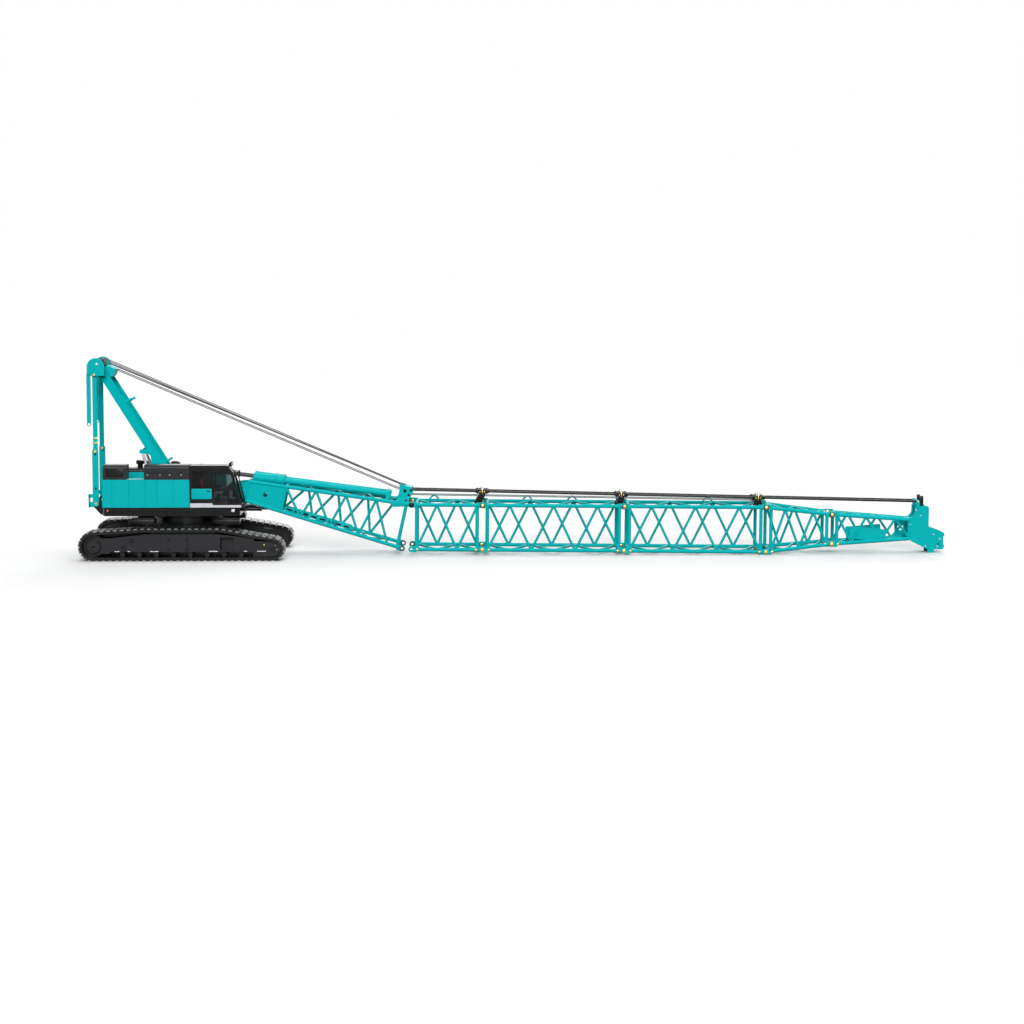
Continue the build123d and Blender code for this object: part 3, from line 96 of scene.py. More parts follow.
def coated(name, look):
    # sprayed or moulded surface: cloudy colour, gloss broken up by fine peel, edges softened by the coat
    made, tree, shader, place = newMaterial(name)
    cloud = addNode(tree, "ShaderNodeTexNoise",
                    {"Scale": patternScale(look["cloudMm"]), "Detail": 3.0}, {"Vector": place})
    colour = addNode(tree, "ShaderNodeMix",
                     {"data_type": "RGBA", 6: linear(look["shade"]), 7: linear(look["light"])},
                     {0: cloud.outputs["Fac"]})
    peel = addNode(tree, "ShaderNodeTexNoise",
                   {"Scale": patternScale(look["peelMm"]), "Detail": 2.0}, {"Vector": place})
    lowest, highest = look["roughness"] - look["spread"], look["roughness"] + look["spread"]
    gloss = addNode(tree, "ShaderNodeMapRange", {"To Min": lowest, "To Max": highest},
                    {"Value": peel.outputs["Fac"]})
    edge = addNode(tree, "ShaderNodeBevel", {"samples": 4, "Radius": look["edgeMm"] * mm})
    bump = addNode(tree, "ShaderNodeBump",
                   {"Strength": look["bump"], "Distance": look["peelMm"] * mm * peelDepth},
                   {"Height": peel.outputs["Fac"], "Normal": edge.outputs["Normal"]})
    tree.links.new(colour.outputs[2], shader.inputs["Base Color"])
    tree.links.new(gloss.outputs["Result"], shader.inputs["Roughness"])
    tree.links.new(bump.outputs["Normal"], shader.inputs["Normal"])
    shader.inputs["Metallic"].default_value = look.get("metallic", 0.0)
    shader.inputs["Specular IOR Level"].default_value = look.get("specular", 0.5)
    return made


# enamel sprayed on cast zinc: even satin colour, reflections held low in the white room
tealEnamel = coated("tealEnamelOnZinc", dict(
    shade="02B2B5", light="05BEC1", cloudMm=30, peelMm=0.6, roughness=0.42, spread=0.05,
    edgeMm=0.3, bump=0.12, specular=0.04))
# the same teal sprayed drier on the mast: no shine at a flat angle
mastEnamel = coated("mattTealOnZinc", dict(
    shade="02B2B5", light="05BEC1", cloudMm=30, peelMm=0.6, roughness=0.6, spread=0.05,
    edgeMm=0.3, bump=0.12, specular=0.0))
# black enamel on the deck and the cab: deep, with soft highlights
blackEnamel = coated("blackEnamelOnZinc", dict(
    shade="060708", light="0B0C0D", cloudMm=22, peelMm=0.5, roughness=0.25, spread=0.05,
    edgeMm=0.3, bump=0.12, specular=0.18))
# bare dark castings of the tracks: rougher, with patchy gloss
trackBlack = coated("castTrackBlack", dict(
    shade="090A0B", light="121314", cloudMm=5, peelMm=0.35, roughness=0.32, spread=0.08,
    edgeMm=0.25, bump=0.25, specular=0.22))
# black enamel on frames and hoods, a little greyer than the deck: the grey is painted sheen
sheenGreyedBlack = coated("blackEnamelGreyedForSheen", dict(
    shade="18191B", light="222326", cloudMm=16, peelMm=0.45, roughness=0.36, spread=0.06,
    edgeMm=0.3, bump=0.15, specular=0.2))
# silver lacquer: pale grey with some metal flake
silverPaint = coated("silverLacquer", dict(
    shade="AEB1B5", light="C6C8CB", cloudMm=12, peelMm=0.4, roughness=0.35, spread=0.06,
    edgeMm=0.2, bump=0.1, metallic=0.4))
# turned brass pins: warm metal, dulled by handling
brassMetal = coated("turnedBrass", dict(
    shade="A8924A", light="C7B26A", cloudMm=1.2, peelMm=0.3, roughness=0.32, spread=0.1,
    edgeMm=0.15, bump=0.2, metallic=1.0))
# moulded ABS: flat grey
greyPlastic = coated("greyMouldedPlastic", dict(
    shade="55585C", light="6A6D72", cloudMm=6, peelMm=0.4, roughness=0.55, spread=0.06,
    edgeMm=0.3, bump=0.3))
paleGrey = coated("paleGreyPlastic", dict(
    shade="8E9296", light="A6AAAE", cloudMm=6, peelMm=0.4, roughness=0.5, spread=0.06,
    edgeMm=0.2, bump=0.2))
# galvanised wire: dull metal grey
wireGrey = coated("galvanisedWire", dict(
    shade="4C5557", light="6B7678", cloudMm=3, peelMm=0.3, roughness=0.45, spread=0.08,
    edgeMm=0.1, bump=0.2, metallic=0.5))
# pale grey on the shoe ends, bright and uneven: painted glints where the shoes catch the light
shoeGlintGrey = coated("paintedShoeGlintGrey", dict(
    shade="5A5D60", light="9A9DA0", cloudMm=1.5, peelMm=0.3, roughness=0.4, spread=0.1,
    edgeMm=0.1, bump=0.2, metallic=0.6))
# moulded rubber: near black and matt
rubberBlack = coated("mouldedBlackRubber", dict(
    shade="101112", light="18191A", cloudMm=8, peelMm=0.4, roughness=0.6, spread=0.08,
    edgeMm=0.15, bump=0.25, specular=0.12))
# flocked seat: matt red pile
redFabric = coated("redSeatFlock", dict(
    shade="A81818", light="C42420", cloudMm=2, peelMm=0.25, roughness=0.8, spread=0.08,
    edgeMm=0.3, bump=0.5, specular=0.2))
# moulded lamp lens: smooth amber
amberLens = coated("amberLampLens", dict(
    shade="D8661A", light="F08A2C", cloudMm=1, peelMm=0.3, roughness=0.2, spread=0.05,
    edgeMm=0.1, bump=0.1))
# enamelled plate: clean white
whiteEnamel = coated("whiteEnamel", dict(
    shade="E2E2E0", light="F0F0EE", cloudMm=3, peelMm=0.3, roughness=0.4, spread=0.05,
    edgeMm=0.1, bump=0.1))

glassLook = dict(tint="8FA0A2", ior=1.25, hazeMm=4.0, roughness=(0.01, 0.05))
stringLook = dict(shade="3A373E", light="6E6A72", fibreMm=0.5, bump=0.4, depthMm=0.05, roughness=0.8)


def clearGlass(look):
    # clear injection-moulded polystyrene: faint grey tint, sharp reflections, little haze
    made, tree, shader, place = newMaterial("clearPolystyrene")
    haze = addNode(tree, "ShaderNodeTexNoise",
                   {"Scale": patternScale(look["hazeMm"]), "Detail": 2.0}, {"Vector": place})
    rough = addNode(tree, "ShaderNodeMapRange",
                    {"To Min": look["roughness"][0], "To Max": look["roughness"][1]},
                    {"Value": haze.outputs["Fac"]})
    tree.links.new(rough.outputs["Result"], shader.inputs["Roughness"])
    shader.inputs["Base Color"].default_value = linear(look["tint"])
    shader.inputs["Transmission Weight"].default_value = 1.0
    shader.inputs["IOR"].default_value = look["ior"]
    return made


def ropeString(look):
    # twisted polyester string: matt grey fibres, lighter and darker along the strands
    made, tree, shader, place = newMaterial("twistedPolyesterString")
    fibre = addNode(tree, "ShaderNodeTexNoise",
                    {"Scale": patternScale(look["fibreMm"]), "Detail": 4.0}, {"Vector": place})
    colour = addNode(tree, "ShaderNodeMix",
                     {"data_type": "RGBA", 6: linear(look["shade"]), 7: linear(look["light"])},
                     {0: fibre.outputs["Fac"]})
    bump = addNode(tree, "ShaderNodeBump", {"Strength": look["bump"], "Distance": look["depthMm"] * mm},
                   {"Height": fibre.outputs["Fac"]})
    tree.links.new(colour.outputs[2], shader.inputs["Base Color"])
    tree.links.new(bump.outputs["Normal"], shader.inputs["Normal"])
    shader.inputs["Roughness"].default_value = look["roughness"]
    return made


string = ropeString(stringLook)
slotFinish = {
    "teal_paint": tealEnamel, "black_paint": blackEnamel, "silver_paint": silverPaint,
    "glass": clearGlass(glassLook), "grey_plastic": greyPlastic, "brass": brassMetal,
    "steel": blackEnamel, "rope": string,
}
# frames and hoods take the black that is greyed for painted sheen
ownFinish = {
    "track_right": trackBlack, "track_left": trackBlack, "track_rollers": trackBlack,
    "end_wheels": trackBlack, "track_frame_right": sheenGreyedBlack, "track_frame_left": sheenGreyedBlack,
    "hood_rear": sheenGreyedBlack, "hood_front": sheenGreyedBlack, "hood_left": sheenGreyedBlack,
    "gantry_mast": mastEnamel,
}
for part in frame["record"]["subparts"]:
    solid = nodes[part["node"]]
    solid.data.materials.clear()
    solid.data.materials.append(ownFinish.get(part["node"], slotFinish[part["material_slot"]]))
print("materials assigned")


def gridQuads(rows, cols):
    # faces of a grid of points that closes on itself across each row
    r, c = np.meshgrid(np.arange(rows - 1), np.arange(cols), indexing="ij")
    beside = (c + 1) % cols
    corners = (r * cols + c, r * cols + beside, (r + 1) * cols + beside, (r + 1) * cols + c)
    return np.stack(corners, -1).reshape(-1, 4)


def ringSolid(rings):
    # closed surface through rings of points (row, around, xyz), with a flat cap on each end
    rows, cols = rings.shape[:2]
    caps = [list(range(cols))[::-1], list(range((rows - 1) * cols, rows * cols))]
    return rings.reshape(-1, 3), gridQuads(rows, cols).tolist() + caps


def circleAngles(sides):
    # even angles t around a full turn, ready to multiply vectors
    return np.linspace(0, 2 * np.pi, sides, endpoint=False)[None, :, None]


def squareTo(along, helper):
    # two unit vectors square to a direction and to each other
    along = along / np.linalg.norm(along, axis=-1, keepdims=True)
    first = np.cross(helper, along)
    first = first / np.linalg.norm(first, axis=-1, keepdims=True)
    return first, np.cross(along, first)


def tube(path, radius, sides=8):
    # circle carried along a path: P(s, t) = path(s) + r (cos t n(s) + sin t b(s))
    path = np.asarray(path, float)
    helper = np.eye(3)[np.argmin(np.ptp(path, axis=0))]
    first, second = squareTo(np.gradient(path, axis=0), helper)
    t = circleAngles(sides)
    return ringSolid(path[:, None] + radius * (np.cos(t) * first[:, None] + np.sin(t) * second[:, None]))


def turned(profile, base, axis, sides=20):
    # profile of (distance, radius) turned about an axis: P(d, t) = base + d a + r(d) (cos t n + sin t b)
    distance, radius = np.asarray(profile, float).T[:, :, None, None]
    axis = np.asarray(axis, float) / np.linalg.norm(axis)
    first, second = squareTo(axis[None], np.eye(3)[np.argmin(np.abs(axis))])
    t = circleAngles(sides)
    around = np.cos(t) * first + np.sin(t) * second
    return ringSolid(np.asarray(base, float) + distance * axis + radius * around)


def turnedRing(profile, base, axis, sides=24):
    # closed profile of (distance, radius) turned about an axis, open in the middle
    profile = np.asarray(profile, float)
    points, _ = turned(np.concatenate((profile, profile[:1])), base, axis, sides)
    return points, gridQuads(len(profile) + 1, sides).tolist()


def dome(base, axis, radius, height, sides=16):
    # round head: r(h) = R sqrt(1 - h^2) above a straight rim, cut off just under its top
    rim, cut = 0.35, 0.47 * np.pi
    h = np.sin(np.linspace(0, cut, 5))
    profile = np.stack((height * (rim + (1 - rim) * h), radius * np.sqrt(1 - h ** 2)), -1)
    return turned(np.concatenate(([[0, radius]], profile)), base, axis, sides)


def hoop(centre, axis, radius, thick, sides=28):
    # ring of round wire: a circle carried around a circle
    first, second = squareTo(np.asarray(axis, float)[None], np.eye(3)[np.argmin(np.abs(axis))])
    t = np.linspace(0, 2 * np.pi, sides)[:, None]
    return tube(np.asarray(centre, float) + radius * (np.cos(t) * first + np.sin(t) * second), thick)


def roundedOutline(width, height, radius, steps=4):
    # corner arcs of a rectangle, counter-clockwise: c_k + r (cos t, sin t)
    t = np.linspace(0, np.pi / 2, steps)
    turns = np.concatenate([t + k * np.pi / 2 for k in range(4)])
    quadrants = np.array([(1, 1), (-1, 1), (-1, -1), (1, -1)])
    corners = np.repeat(quadrants * (width / 2 - radius, height / 2 - radius), steps, 0)
    return corners + radius * np.stack((np.cos(turns), np.sin(turns)), -1)


def polygonOutline(radius, sides):
    # regular polygon: R (cos t, sin t) at even angles
    t = circleAngles(sides)[0, :, 0]
    return radius * np.stack((np.cos(t), np.sin(t)), -1)


def slab(outline, place, u, v, thick, edge):
    # outline raised along w = u x v, rims eased by a quarter round: inset e (1 - sin f), height e (1 - cos f)
    outline = np.asarray(outline, float)
    run = np.roll(outline, -1, 0) - outline
    normal = np.stack((run[:, 1], -run[:, 0]), -1) / np.linalg.norm(run, axis=1, keepdims=True)
    before = np.roll(normal, 1, 0)
    mitre = (normal + before) / (1 + np.sum(normal * before, 1, keepdims=True))
    f = np.linspace(0, np.pi / 2, 4)
    inset = edge * (1 - np.sin(np.concatenate((f, f[::-1]))))
    height = np.concatenate((edge * (1 - np.cos(f)), thick - edge * (1 - np.cos(f[::-1]))))
    flat = outline[None] - inset[:, None, None] * mitre[None]
    u, v = np.asarray(u, float), np.asarray(v, float)
    w = np.cross(u, v)
    spread = flat[..., :1] * u + flat[..., 1:] * v
    return ringSolid(np.asarray(place, float) + spread + height[:, None, None] * w)


def box(centre, size, edge):
    # upright box with eased rims: a rounded rectangle raised along z
    centre, size = np.asarray(centre, float), np.asarray(size, float)
    outline = roundedOutline(size[0], size[1], edge)
    return slab(outline, centre - (0, 0, size[2] / 2), (1, 0, 0), (0, 1, 0), size[2], edge)


def onSide(outline, place, side, thick, edge):
    # slab that stands on an upright side face, outward on the near (-1) or far (1) side
    return slab(outline, place, (-side, 0, 0), (0, 0, 1), thick, edge)


def seenFrom(side, outline):
    # outline drawn for the near side, or its mirror image for the far side
    outline = np.asarray(outline, float)
    return outline if side < 0 else outline[::-1] * (-1, 1)


sharpAngle = 35  # degrees between two faces from which their edge stays sharp


def piece(name, shapes, finish, body):
    # joins shapes into one mesh in metres at the origin, smooth but for its sharp edges, riding on a body
    starts = np.cumsum([0] + [len(points) for points, _ in shapes])
    faces = [[i + start for i in face] for (_, some), start in zip(shapes, starts) for face in some]
    mesh = bpy.data.meshes.new(name)
    mesh.from_pydata((np.concatenate([points for points, _ in shapes]) * mm).tolist(), [], faces)
    mesh.materials.append(finish)
    mesh.shade_smooth()
    mesh.set_sharp_from_angle(angle=math.radians(sharpAngle))
    made = bpy.data.objects.new(name, mesh)
    bpy.context.scene.collection.objects.link(made)
    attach(made, body)
    return made


bothSides = (-1, 1)


def studs(places, face, shape):
    # round heads at (x, z) places on the near and the far side face
    return [dome((x, side * face, z), (0, side, 0), *shape) for x, z in places for side in bothSides]


# the boom's own axes: along its slope, across, and up from the top chord or the base's middle
boomLook = dict(
    foot=(40.0, 57.6), baseSlope=12.4, baseLength=152.4, knuckle=(192.968, 43.626),
    outerSlope=0.531, depth=38.4, half=22.0, joints=(61.0, 183.0, 305.0), taperEnd=363.0,
    taperHalf=14.0, taperUps=(-6.4, -32.0), lugHalf=2.15, tongueHalf=1.0)
half, depth, lug = boomLook["half"], boomLook["depth"], boomLook["lugHalf"]


def onBoom(origin, slope, along, across, up):
    # point given along, across and up from a sloping line: origin turned down by the slope in XZ
    s, c = math.sin(math.radians(slope)), math.cos(math.radians(slope))
    place = np.broadcast_arrays(origin[0] + along * c + up * s, across, origin[1] - along * s + up * c)
    return np.stack(place, -1).astype(float)


def onBase(along, across, up):
    # point on the base section
    return onBoom(boomLook["foot"], boomLook["baseSlope"], along, across, up)


def onOuter(along, across, up):
    # point on the sections beyond the base
    return onBoom(boomLook["knuckle"], boomLook["outerSlope"], along, across, up)


# hoist ropes: two strands twisted about each straight run, riding on the hoist ropes' body.
# A layer is its start along the run, its lift there, its gap and drop at the spreader, and its spread.
ropeLook = dict(
    anchor=(-74.5, 0.0, 164.2), end=(187.0, 0.0, 54.8), strand=0.3, offset=0.12, lay=2.4,
    step=0.4, sides=6, keep=0.2591,
    layers=((0.0, 5.2, 1.8, 3.4, 6.4), (7.0, 3.2, 1.8, 3.4, 3.2), (15.6, 0.8, 3.6, -1.0, 6.4)))
anchor, ropeEnd = np.array(ropeLook["anchor"]), np.array(ropeLook["end"])
ropeRun = (ropeEnd - anchor) / np.linalg.norm(ropeEnd - anchor)
ropeRise = np.array((-ropeRun[2], 0.0, ropeRun[0]))
strands = []
for skip, lift, short, drop, spread in ropeLook["layers"]:
    for across in (-spread, spread):
        start = anchor + ropeRun * skip + ropeRise * lift + (0, across, 0)
        end = ropeEnd - ropeRun * short + ropeRise * drop + (0, across, 0)
        length = np.linalg.norm(end - start)
        s = np.linspace(0, 1, int(length / ropeLook["step"]))[:, None]
        # strand: P(s) = line(s) + o (cos(2 pi s L / lay + k) n + sin(2 pi s L / lay + k) b)
        for phase in (0, math.pi):
            twist = 2 * np.pi * s * length / ropeLook["lay"] + phase
            swing = np.cos(twist) * ropeRise + np.sin(twist) * np.array((0.0, 1.0, 0.0))
            path = start + (end - start) * s + ropeLook["offset"] * swing
            strands.append(tube(path, ropeLook["strand"], ropeLook["sides"]))
ropes = piece("twistedHoistRopes", strands, string, "hoist_ropes")
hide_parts("hoist_ropes")
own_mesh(ropes)
print("ropes made")

# pins of the chord joints: domed brass heads outside, rings inside, keeper pins along the lower chord, and
# black rings of painted shade on the open lower lugs at the knuckle
pinLook = dict(
    headRadius=1.75, lowHeadRadius=1.95, headHeight=0.9, headLift=0.2,
    innerRing=((0, 1.6), (0.5, 1.6), (0.7, 1.2)), innerSides=14,
    washer=((0, 2.0), (0.1, 2.3), (0.3, 2.3), (0.4, 2.0)),
    keeperOffset=5.4, keeperLift=1.2, keeper=(1.4, 1.0, 10), knuckleKeeper=5.0,
    openLugGap=0.3, openLug=(1.85, 0.6))
corners = [(along, half, up) for along in boomLook["joints"] for up in (0.0, -depth)]
corners += [(boomLook["taperEnd"], boomLook["taperHalf"], up) for up in boomLook["taperUps"]]
corners.append((0.0, half, 0.0))
heads, washersAndShadeRings, keepers = [], [], []
for along, across, up in corners:
    top = up > -depth / 2
    headRadius = pinLook["headRadius" if top else "lowHeadRadius"]
    for side in bothSides:
        face = onOuter(along, side * (across + lug), up)
        place = face + (0, side * pinLook["headLift"], 0)
        head = dome(place, (0, side, 0), headRadius, pinLook["headHeight"])
        # the knuckle's head is black, as the washers are
        (washersAndShadeRings if along == 0 else heads).append(head)
        inner = onOuter(along, side * (across - lug), up)
        heads.append(turned(pinLook["innerRing"], inner, (0, -side, 0), pinLook["innerSides"]))
        if top:
            washersAndShadeRings.append(turned(pinLook["washer"], face, (0, side, 0)))
        else:
            for shift in (-pinLook["keeperOffset"], pinLook["keeperOffset"]):
                place = onOuter(along + shift, side * (across + pinLook["keeperLift"]), up)
                keepers.append(dome(place, (0, side, 0), *pinLook["keeper"]))
for side in bothSides:
    place = onOuter(pinLook["knuckleKeeper"], side * (half + pinLook["keeperLift"]), -depth)
    keepers.append(dome(place, (0, side, 0), *pinLook["keeper"]))
    # black ring on the open lug's inner face: painted shade
    place = onOuter(0.0, side * (half - lug - pinLook["openLugGap"]), -depth)
    washersAndShadeRings.append(hoop(place, (0, 1, 0), *pinLook["openLug"]))
piece("chordPinHeads", heads, brassMetal, "boom_outer")
piece("chordPinWashersAndShadeRings", washersAndShadeRings, blackEnamel, "boom_outer")
piece("chordKeeperPins", keepers, brassMetal, "boom_outer")

# pendant couplings: flanges on the rod, stud and nut on top, brass band and side bolts
pendantLook = dict(
    start=(192.4, 55.3), end=(630.99, 44.57), across=8.0, places=(253.8, 374.0, 492.6),
    block=3.2, blockLength=7.0,
    flange=((0, 1.7), (0.2, 2.2), (0.9, 2.2), (1.1, 1.6), (2.2, 1.3), (2.4, 1.0)),
    flangeSides=12, boltShift=1.9, boltDrop=0.2, bolt=(0.7, 0.6, 10),
    nutRadius=1.5, nutSink=0.1,
    nut=(1.1, 0.2), studLift=0.8, stud=(0.75, 1.1, 12), bandSize=3.7, bandCorner=0.4,
    bandShift=0.5, band=(1.0, 0.2))
pendantSlope = ((pendantLook["end"][1] - pendantLook["start"][1])
                / (pendantLook["end"][0] - pendantLook["start"][0]))
rod = np.array((1.0, 0.0, pendantSlope)) / math.hypot(1.0, pendantSlope)
nutOutline = polygonOutline(pendantLook["nutRadius"], 6)
bandOutline = roundedOutline(pendantLook["bandSize"], pendantLook["bandSize"], pendantLook["bandCorner"])
blockReach, blockTop = pendantLook["blockLength"] / 2, pendantLook["block"] / 2
flanges, nuts, bands = [], [], []
for x in pendantLook["places"]:
    z = pendantLook["start"][1] + pendantSlope * (x - pendantLook["start"][0])
    for side in bothSides:
        middle = np.array((x, side * pendantLook["across"], z))
        for end in (-1, 1):
            place = middle + end * blockReach * rod
            flanges.append(turned(pendantLook["flange"], place, end * rod, pendantLook["flangeSides"]))
            place = middle + (end * pendantLook["boltShift"], side * blockTop, -pendantLook["boltDrop"])
            bands.append(dome(place, (0, side, 0), *pendantLook["bolt"]))
        place = middle + (0, 0, blockTop - pendantLook["nutSink"])
        nuts.append(slab(nutOutline, place, (1, 0, 0), (0, 1, 0), *pendantLook["nut"]))
        place = middle + (0, 0, blockTop + pendantLook["studLift"])
        nuts.append(dome(place, (0, 0, 1), *pendantLook["stud"]))
        place = middle - (pendantLook["bandShift"], 0, 0)
        bands.append(slab(bandOutline, place, (0, 1, 0), (0, 0, 1), *pendantLook["band"]))
piece("pendantCouplingFlanges", flanges, blackEnamel, "pendants")
piece("pendantCouplingNuts", nuts, silverPaint, "pendants")
piece("pendantCouplingBands", bands, brassMetal, "pendants")

# guy wires under the pendants, their rod in the spreader, and sockets at their far ends
wireLook = dict(
    across=5.5, radius=0.42, rodRadius=0.8, start=(190.4, 51.0), end=(489.0, 45.6), rodHalf=10.0,
    socket=((0, 0.9), (0.4, 1.3), (2.4, 1.3), (2.8, 0.8)), socketShift=2.0, rodSides=12)
(startX, startZ), (endX, endZ) = wireLook["start"], wireLook["end"]
wires = []
for side in bothSides:
    across = side * wireLook["across"]
    wires.append(tube(((startX, across, startZ), (endX, across, endZ)), wireLook["radius"]))
    wires.append(turned(wireLook["socket"], (endX - wireLook["socketShift"], across, endZ),
                        (1, 0, pendantSlope), wireLook["rodSides"]))
wires.append(tube(((startX, -wireLook["rodHalf"], startZ), (startX, wireLook["rodHalf"], startZ)),
                  wireLook["rodRadius"], wireLook["rodSides"]))
piece("guyWires", wires, wireGrey, "pendants")

# guide arches on the far top chord: up(s) = u0 + h (1 - |s|^1.5), s from -1 to 1
archLook = dict(alongs=(19.0, 100.6, 139.7, 258.5), halfSpan=4.2, base=1.0, height=3.8, radius=0.75, sides=10)
s = np.linspace(-1, 1, 17)
archUp = archLook["base"] + archLook["height"] * (1 - np.abs(s) ** 1.5)
arches = [tube(onOuter(along + archLook["halfSpan"] * s, half, archUp), archLook["radius"], archLook["sides"])
          for along in archLook["alongs"]]
piece("wireGuideArches", arches, tealEnamel, "boom_outer")

# boom head: bolts, stop blocks over the pendants' ends, and pin ends
headLook = dict(
    bolts=((629.5, 37.0), (633.6, 32.4), (624.5, 24.5), (624.5, 10.5), (638.0, 5.6), (648.5, 5.6),
           (650.5, 12.0), (645.0, 16.0)),
    boltFace=9.0, bolt=(0.75, 0.5, 12), stop=(634.4, 45.0), stopAcross=8.0,
    stopSize=(2.8, 2.6, 8.8), stopEdge=0.5, pin=(631.0, 44.57), pinFace=10.05,
    pinEnd=(0.9, 0.6, 12))
bolts = studs(headLook["bolts"], headLook["boltFace"], headLook["bolt"])
piece("boomHeadBolts", bolts, silverPaint, "boom_outer")
stopX, stopZ = headLook["stop"]
blocks = [box((stopX, side * headLook["stopAcross"], stopZ), headLook["stopSize"], headLook["stopEdge"])
          for side in bothSides]
piece("boomHeadStops", blocks, blackEnamel, "boom_outer")
pinEnds = studs([headLook["pin"]], headLook["pinFace"], headLook["pinEnd"])
piece("pendantPinEnds", pinEnds, brassMetal, "boom_outer")

# spreader: ends of its three pins, each with its own radius
spreaderLook = dict(
    pins=((192.4, 55.3, 1.2), (187.0, 54.8, 1.5), (190.4, 51.0, 1.1)), face=10.65,
    height=0.6, sides=14)
ends = []
for x, z, radius in spreaderLook["pins"]:
    ends += studs([(x, z)], spreaderLook["face"], (radius, spreaderLook["height"], spreaderLook["sides"]))
piece("spreaderPinEnds", ends, blackEnamel, "pendants")

# bands on the backstop barrels
stopLook = dict(
    eye=(131.0, 23.2), seat=(7.2, 73.4), across=8.0, bandPlaces=(90.4, 97.0, 114.6),
    band=((0, 3.5), (0, 3.9), (0.2, 4.1), (1.4, 4.1), (1.6, 3.9), (1.6, 3.5)))
barrelBands = []
for side in bothSides:
    across = side * stopLook["across"]
    eye = onBase(stopLook["eye"][0], across, stopLook["eye"][1])
    stopRun = np.array((stopLook["seat"][0], across, stopLook["seat"][1])) - eye
    stopRun /= np.linalg.norm(stopRun)
    barrelBands += [turnedRing(stopLook["band"], eye + stopRun * place, stopRun)
                    for place in stopLook["bandPlaces"]]
piece("backstopBarrelBands", barrelBands, tealEnamel, "backstop_tubes")

# end of the base: black rings of painted shade on the open lower tongues, and gussets under the upper ones
endLook = dict(
    ring=((0, 1.35), (0, 2.3), (0.1, 2.3), (0.1, 1.35)), gussetFace=21.4, gussetThick=1.4,
    gussetEdge=0.3, gusset=((174.0, 44.9), (177.4, 41.9), (187.0, 42.0), (188.4, 44.0),
                            (187.0, 49.3), (183.5, 49.6)))
rings = []
for side in bothSides:
    for end in (-1, 1):
        place = onBase(boomLook["baseLength"], side * (half + end * boomLook["tongueHalf"]), -depth / 2)
        # each black ring stands for shade on the teal tongue: painted shade
        rings.append(turnedRing(endLook["ring"], place, (0, side * end, 0)))
piece("baseLugShadeRings", rings, blackEnamel, "boom_base")
gussets = [onSide(seenFrom(side, endLook["gusset"]), (0, side * endLook["gussetFace"], 0), side,
                  endLook["gussetThick"], endLook["gussetEdge"]) for side in bothSides]
piece("baseEndGussets", gussets, tealEnamel, "boom_base")

# walkway tray on the base's bottom lacing: floor and two rails, with their slots drawn as thin black patches
# of painted shade.
# chordDrop is how far the lower chord lies under the base's middle at the foot, and its fall along it.
walkLook = dict(
    start=46.0, end=106.0, half=7.4, lift=0.9, chordDrop=(7.5, 0.0768), corner=0.6, floor=0.6,
    edge=0.15, rail=3.2, railCorner=0.4, railThick=0.8, slotShades=8, slotInset=4.4, slot=(5.0, 1.5),
    slotLift=1.8, slotCorner=0.5, cell=(5.0, 4.6), cellAcross=3.4, proud=(0.15, 0.05), sink=0.04)


def onTray(along, across, lift):
    # point above the plane of the base's lower chords
    return onBase(along, across, lift - walkLook["chordDrop"][0] - walkLook["chordDrop"][1] * along)


trayRun = onTray(walkLook["end"], 0.0, 0.0) - onTray(walkLook["start"], 0.0, 0.0)
trayLength = np.linalg.norm(trayRun)
trayRun = trayRun / trayLength
trayUp = np.cross(trayRun, (0, 1, 0))
trayMiddle = (walkLook["start"] + walkLook["end"]) / 2
railHalf = walkLook["railThick"] / 2
floorOutline = roundedOutline(trayLength, 2 * walkLook["half"], walkLook["corner"])
place = onTray(trayMiddle, 0.0, walkLook["lift"])
tray = [slab(floorOutline, place, trayRun, (0, 1, 0), walkLook["floor"], walkLook["edge"])]
railOutline = roundedOutline(trayLength, walkLook["rail"], walkLook["railCorner"])
slotOutline = roundedOutline(*walkLook["slot"], walkLook["slotCorner"])
cellOutline = roundedOutline(*walkLook["cell"], walkLook["slotCorner"])
slotAlongs = np.linspace(walkLook["start"] + walkLook["slotInset"], walkLook["end"] - walkLook["slotInset"],
                         walkLook["slotShades"])
slotShades = []
for side in bothSides:
    place = onTray(trayMiddle, side * walkLook["half"] + railHalf, walkLook["lift"] + walkLook["rail"] / 2)
    tray.append(slab(railOutline, place, trayRun, trayUp, walkLook["railThick"], walkLook["edge"]))
    for along in slotAlongs:
        slotFace = side * (walkLook["half"] + railHalf - walkLook["sink"])
        place = onTray(along, slotFace, walkLook["lift"] + walkLook["slotLift"])
        slotShades.append(slab(slotOutline, place, -side * trayRun, trayUp, *walkLook["proud"]))
        floorTop = walkLook["lift"] + walkLook["floor"] - walkLook["sink"]
        place = onTray(along, side * walkLook["cellAcross"], floorTop)
        slotShades.append(slab(cellOutline, place, trayRun, (0, 1, 0), *walkLook["proud"]))
piece("baseWalkwayTray", tray, tealEnamel, "boom_base")
# the black of the slot patches is painted shade
piece("baseWalkwaySlotShade", slotShades, rubberBlack, "boom_base")
print("boom pieces made")

# rope wound on the drums: helix y(t) = p t at the drum's radius plus half the rope
drumLook = dict(
    places=(("drum_front", 12.0), ("drum_rear", -44.0)), z=51.6, radius=5.85, rope=0.45,
    halfLength=11.6, steps=20, sides=6)
turns = drumLook["halfLength"] / drumLook["rope"]
t = np.linspace(0, 1, int(turns * drumLook["steps"]))
angle = 2 * np.pi * turns * t
windY = drumLook["halfLength"] * (2 * t - 1)
for body, x in drumLook["places"]:
    path = np.stack((x + drumLook["radius"] * np.cos(angle), windY,
                     drumLook["z"] + drumLook["radius"] * np.sin(angle)), -1)
    coil = tube(path, drumLook["rope"], drumLook["sides"])
    piece(body.replace("_", "") + "Winding", [coil], string, body)

